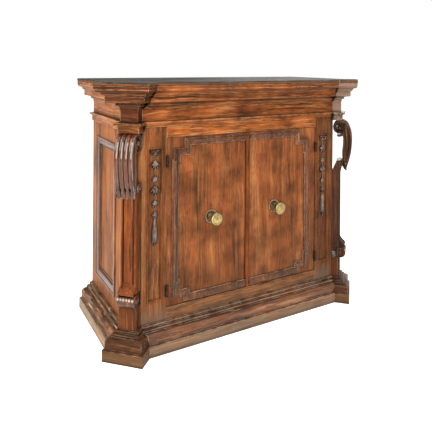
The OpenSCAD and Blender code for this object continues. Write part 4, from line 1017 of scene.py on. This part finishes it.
def makePendant(side):
    s = pendantSizes
    low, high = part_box(side + "_pendant")
    dropLong, dropWide = s["drop"]
    stemEnd = (low.z - high.z) / mm + dropLong  # heights are counted from the top of the pendant
    bm = bmesh.new()
    addRibbon(bm, [(0, -s["stemDown"]), (0, stemEnd * 0.5), (0, stemEnd)], *s["stem"])
    for sign in (-1, 1):  # bow: two loops and two short tails
        loop = [(sign * (s["bowIn"] + s["bowWide"] / 2 * (1 - math.cos(a))),
                 -s["bowDown"] + s["bowTall"] / 2 * math.sin(a) + s["bowSkew"] * math.sin(a / 2))
                for a in [2 * math.pi * k / s["bowSteps"] for k in range(s["bowSteps"] + 1)]]
        addRibbon(bm, loop, *s["bow"])
        addRibbon(bm, [(sign * x, -down) for x, down in s["tails"]], *s["tail"])
    addBall(bm, (0, -s["knotOut"], -s["bowDown"] - 1), s["knot"], s["ballFlat"])
    row = (-s["spanLess"] - stemEnd) / s["rows"]
    for place, scale in s["huskRows"]:
        addHusk(bm, s, -s["huskTop"] - row * place, scale)
    flowerZ = -s["huskTop"] - row * s["flowerRow"]
    petal = bmesh.new()
    addLeaf(petal, *s["petal"], 0, (0, 0), s["petalTip"], s["petalCurl"])
    shape = asMesh("petal", petal)
    for k in range(s["petals"]):
        turn = Matrix.Rotation(2 * math.pi * k / s["petals"], 4, "Y")
        addMesh(bm, shape, Matrix.Translation((0, -s["petalOut"], flowerZ)) @ turn)
    addBall(bm, (0, -s["eyeOut"], flowerZ), s["flowerEye"])
    # the drop: two long side leaves folded round a slim bud
    sideLong, sideWide = s["dropSide"]
    sideTip, budTip = s["dropTips"]
    for sign in (-1, 1):
        addLeaf(bm, dropLong * sideLong, dropWide * sideWide, s["proud"], math.radians(sign * s["dropLean"]),
                (-sign, stemEnd), sideTip, s["dropCurl"])
    budWide, budProud, budRidge = s["bud"]
    addLeaf(bm, dropLong, dropWide * budWide, s["proud"] * budProud, 0, (0, stemEnd), budTip, s["dropCurl"],
            budRidge)
    up, scale = s["lastHusk"]
    addHusk(bm, s, stemEnd + up, scale)
    place = Matrix.Translation(((low.x + high.x) / 2, high.y, high.z)) @ Matrix.Scale(mm, 4)
    piece = makePiece(side + "CarvedPendant", bm, [woods["pendantWalnut"]], place, 50)
    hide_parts(side + "_pendant")
    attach(piece, "case")


for side in ("left", "right"):
    makePendant(side)
print("pendants ready")


# Knobs and roses: turned on the lathe, the roses cast
knobSizes = {
    "rim": 26, "roundEdge": 5.5, "ledge": 19.5, "ledgeDeep": 1.6, "crown": 2.6, "neck": 8.5, "foot": 14.5,
    "under": 15, "spindle": 5, "footGap": 0.3, "footRound": 1.8, "neckRound": 7, "neckUp": 11,
    "footIn": 1.5, "footUp": 2.2, "flare": 3, "ledgeEase": 0.8, "ledgeDown": 0.2,
    "button": 18, "buttonRings": (17, 14, 10, 6, 3), "buttonUp": 0.4, "swell": 0.2,     # the raised middle
}
roseSizes = {
    "rose": 28, "rimIn": 3.2, "dish": 3.6, "hole": 5.6, "collar": (18, 16.5, 15), "back": 0.2,
    "edge": 2.0, "edgeIn": 0.6, "edgeEase": 0.2, "valleyIn": 4, "valleyDeep": 0.6, "collarDown": 1,
    "gadroons": 26, "gadroon": 2.9, "gadroonFlat": 0.95, "gadroonOut": 0.2, "gadroonDown": 0.8,
    "rubbedIn": 0.8,
}
latheSteps, metalSmooth = 72, 32     # facets round a turned piece, degrees up to which it is smooth


def makeKnob(side, face, back, roseTop, outward):
    s = knobSizes
    edge, ledgeDeep = s["roundEdge"], s["ledgeDeep"]
    head = face - s["crown"]
    base = roseTop + s["footGap"]
    neckZ = head - s["under"]
    button = [(r, head - ledgeDeep * s["buttonUp"] + (s["crown"] + s["swell"]) * (1 - (r / s["button"]) ** 2))
              for r in s["buttonRings"]]
    profile = ([(0, back), (s["spindle"], back), (s["spindle"], base), (s["foot"], base)]
               + arcPoints(s["foot"] - s["footIn"], roseTop + s["footUp"], s["footRound"], -40, 120, 5)
               + arcPoints(s["neck"] + s["neckRound"], roseTop + s["neckUp"], s["neckRound"], 230, 150, 6)
               + [(s["neck"], neckZ), (s["neck"] + s["flare"], neckZ + s["flare"])]
               + arcPoints(s["rim"] - edge, head - edge, edge, -62, 95, 9)
               + [(s["ledge"] + s["ledgeEase"], head - s["ledgeDown"]), (s["ledge"], head - ledgeDeep),
                  (s["ledge"] - ledgeDeep, head - ledgeDeep)]
               + button + [(0, face)])
    bm = bmesh.new()
    addLathe(bm, profile, latheSteps)
    for turned in bm.faces:  # the shank is bronze, only the head is brass
        turned.material_index = 1 if turned.calc_center_median().z < neckZ + s["flare"] else 0
    stocks = [metals["rubbedBrass"], metals["darkBronze"]]
    piece = makePiece(side + "TurnedKnob", bm, stocks, outward, metalSmooth)
    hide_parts(side + "_knob")
    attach(piece, side + "_door")


def makeRose(side, roseTop, outward):
    # a shallow dish with a raised collar and a gadrooned rim
    s = roseSizes
    rose, dish, hole, back, valley = s["rose"], s["dish"], s["hole"], s["back"], s["valleyDeep"]
    rim = rose - s["rimIn"]
    outer, middle, inner = s["collar"]
    profile = [(hole, back), (rose - s["edgeIn"], back), (rose - s["edgeEase"], s["edge"]), (rim, dish),
               (rim - s["valleyIn"], dish - valley), (outer, dish + valley),
               (middle, roseTop - s["collarDown"]), (inner, roseTop), (hole, roseTop), (hole, back)]
    bm = bmesh.new()
    addLathe(bm, profile, latheSteps)
    gadroon = bmesh.new()
    addBall(gadroon, (0, 0, 0), s["gadroon"], s["gadroonFlat"])
    holder = newObject("gadroon", asMesh("gadroon", gadroon))
    ring = grown(trees["ringOf"], {"Count": s["gadroons"], "Radius": rim + s["gadroonOut"], "Shape": holder})
    addMesh(bm, ring, Matrix.Translation((0, 0, dish - s["gadroonDown"])))
    bpy.data.objects.remove(holder)
    for cast in bm.faces:  # the rim is paler, partly rubbed and partly painted highlight
        spot = cast.calc_center_median()
        cast.material_index = 1 if math.hypot(spot.x, spot.y) > rim - s["rubbedIn"] else 0
    stocks = [metals["darkBronze"], metals["rubbedBronze"]]
    piece = makePiece(side + "CastRose", bm, stocks, outward, metalSmooth)
    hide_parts(side + "_rose")
    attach(piece, side + "_door")


def makeHandle(side):
    low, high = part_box(side + "_knob")
    roseLow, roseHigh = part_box(side + "_rose")
    centre = Vector(((low.x + high.x) / 2, roseHigh.y, (low.z + high.z) / 2))
    face = (roseHigh.y - low.y) / mm       # from the door to the front of the knob
    back = (roseHigh.y - high.y) / mm      # the spindle's end behind the door
    roseTop = (roseHigh.y - roseLow.y) / mm
    outward = Matrix.Translation(centre) @ Matrix.Rotation(math.pi / 2, 4, "X") @ Matrix.Scale(mm, 4)
    makeKnob(side, face, back, roseTop, outward)
    makeRose(side, roseTop, outward)


for side in ("left", "right"):
    makeHandle(side)
print("knobs ready")


# Floor, lights and camera
stageSizes = {
    "floorReach": 30,                      # metres
    "floor": "#f1ede8", "glow": 0.8,       # the glow is what the eye sees on top of the floor's colour
    "sky": "#eef0f2", "skyLight": 0.42, "white": "#ffffff",
}


def seenDirectly(tree):
    # 1 for what the eye, a gloss or a clear thing sees of the background
    path = addNode(tree, "ShaderNodeLightPath")
    seen = path.outputs["Is Camera Ray"]
    for ray in ("Is Glossy Ray", "Is Transmission Ray"):
        either = addNode(tree, "ShaderNodeMath", {"operation": "MAXIMUM"}, {0: seen, 1: path.outputs[ray]})
        seen = either.outputs[0]
    return seen


def whiteFloor(s):
    material, tree = newMaterial("paleFloor")
    matte = addNode(tree, "ShaderNodeBsdfDiffuse", {"Color": linearColour(s["floor"])})
    glow = addNode(tree, "ShaderNodeEmission", {"Color": linearColour(s["white"]), "Strength": s["glow"]})
    both = addNode(tree, "ShaderNodeAddShader", None, {0: matte.outputs[0], 1: glow.outputs[0]})
    pick = addNode(tree, "ShaderNodeMixShader", None,
                   {0: seenDirectly(tree), 1: matte.outputs[0], 2: both.outputs[0]})
    addNode(tree, "ShaderNodeOutputMaterial", None, {"Surface": pick.outputs[0]})
    return material


def addFloor():
    mesh = bpy.data.meshes.new("floor")
    reach = stageSizes["floorReach"]
    mesh.from_pydata([(-reach, -reach, 0), (reach, -reach, 0), (reach, reach, 0), (-reach, reach, 0)], [],
                     [(0, 1, 2, 3)])
    floor = newObject("floor", mesh)
    floor.data.materials.append(whiteFloor(stageSizes))


def addWorld():
    s = stageSizes
    world = bpy.data.worlds.new("studio")
    scene.world = world
    world.use_nodes = True
    tree = world.node_tree
    tree.nodes.clear()
    plain = addNode(tree, "ShaderNodeBackground",
                    {"Color": linearColour(s["sky"]), "Strength": s["skyLight"]})
    white = addNode(tree, "ShaderNodeBackground", {"Color": linearColour(s["white"]), "Strength": 1.0})
    pick = addNode(tree, "ShaderNodeMixShader", None,
                   {0: seenDirectly(tree), 1: plain.outputs[0], 2: white.outputs[0]})
    addNode(tree, "ShaderNodeOutputWorld", None, {"Surface": pick.outputs[0]})


lampList = [
    # name, place, aim, width, height, watts, colour
    ("keyLamp", (-2.3, -2.8, 1.65), (-0.1, 0.0, 1.4), 1.1, 2.8, 130, "#fff6ea"),
    ("sideLamp", (-3.2, 0.6, 1.9), (-0.3, 0.1, 0.5), 1.6, 1.6, 45, "#fffaf2"),
    ("topLamp", (0.0, -0.9, 3.2), (0.0, 0.0, 0.9), 2.4, 2.4, 45, "#ffffff"),
    ("backLamp", (2.4, 2.2, 1.8), (0.0, 0.0, 0.6), 2.0, 2.0, 40, "#ffffff"),
]


def addLamps():
    for name, place, aim, width, height, watts, colour in lampList:
        lamp = bpy.data.lights.new(name, "AREA")
        lamp.shape = "RECTANGLE"
        lamp.size = width
        lamp.size_y = height
        lamp.energy = watts
        lamp.color = linearColour(colour)[:3]
        holder = newObject(name, lamp)
        holder.location = place
        holder.rotation_euler = (Vector(aim) - Vector(place)).to_track_quat("-Z", "Y").to_euler()


cameraFit = {
    "place": (-1.18255, -1.97747, 1.12240),  # metres
    "yaw": 29.5325,                          # degrees from straight on
    "roll": 0.008,                           # radians
    "focal": 496.444,                        # pixels in a frame 432 wide
    "frame": (432, 425), "horizon": 63.48, "sensor": 36,
}


def addCamera():
    s = cameraFit
    wide, tall = s["frame"]
    yaw = math.radians(s["yaw"])
    ahead = Vector((math.sin(yaw), math.cos(yaw), 0))
    right = Vector((math.cos(yaw), -math.sin(yaw), 0))
    up = Vector((0, 0, 1))
    c, r = math.cos(s["roll"]), math.sin(s["roll"])
    right, up = right * c + up * r, up * c - right * r
    data = bpy.data.cameras.new("photoView")
    data.sensor_width = s["sensor"]
    data.lens = s["sensor"] * s["focal"] / wide
    data.shift_y = -(tall / 2 - s["horizon"]) / wide
    data.clip_end = 100
    camera = newObject("photoView", data)
    turn = Matrix((right, up, -ahead)).transposed().to_4x4()
    camera.matrix_world = Matrix.Translation(s["place"]) @ turn
    scene.camera = camera


addFloor()
addWorld()
addLamps()
addCamera()
print("stage ready")
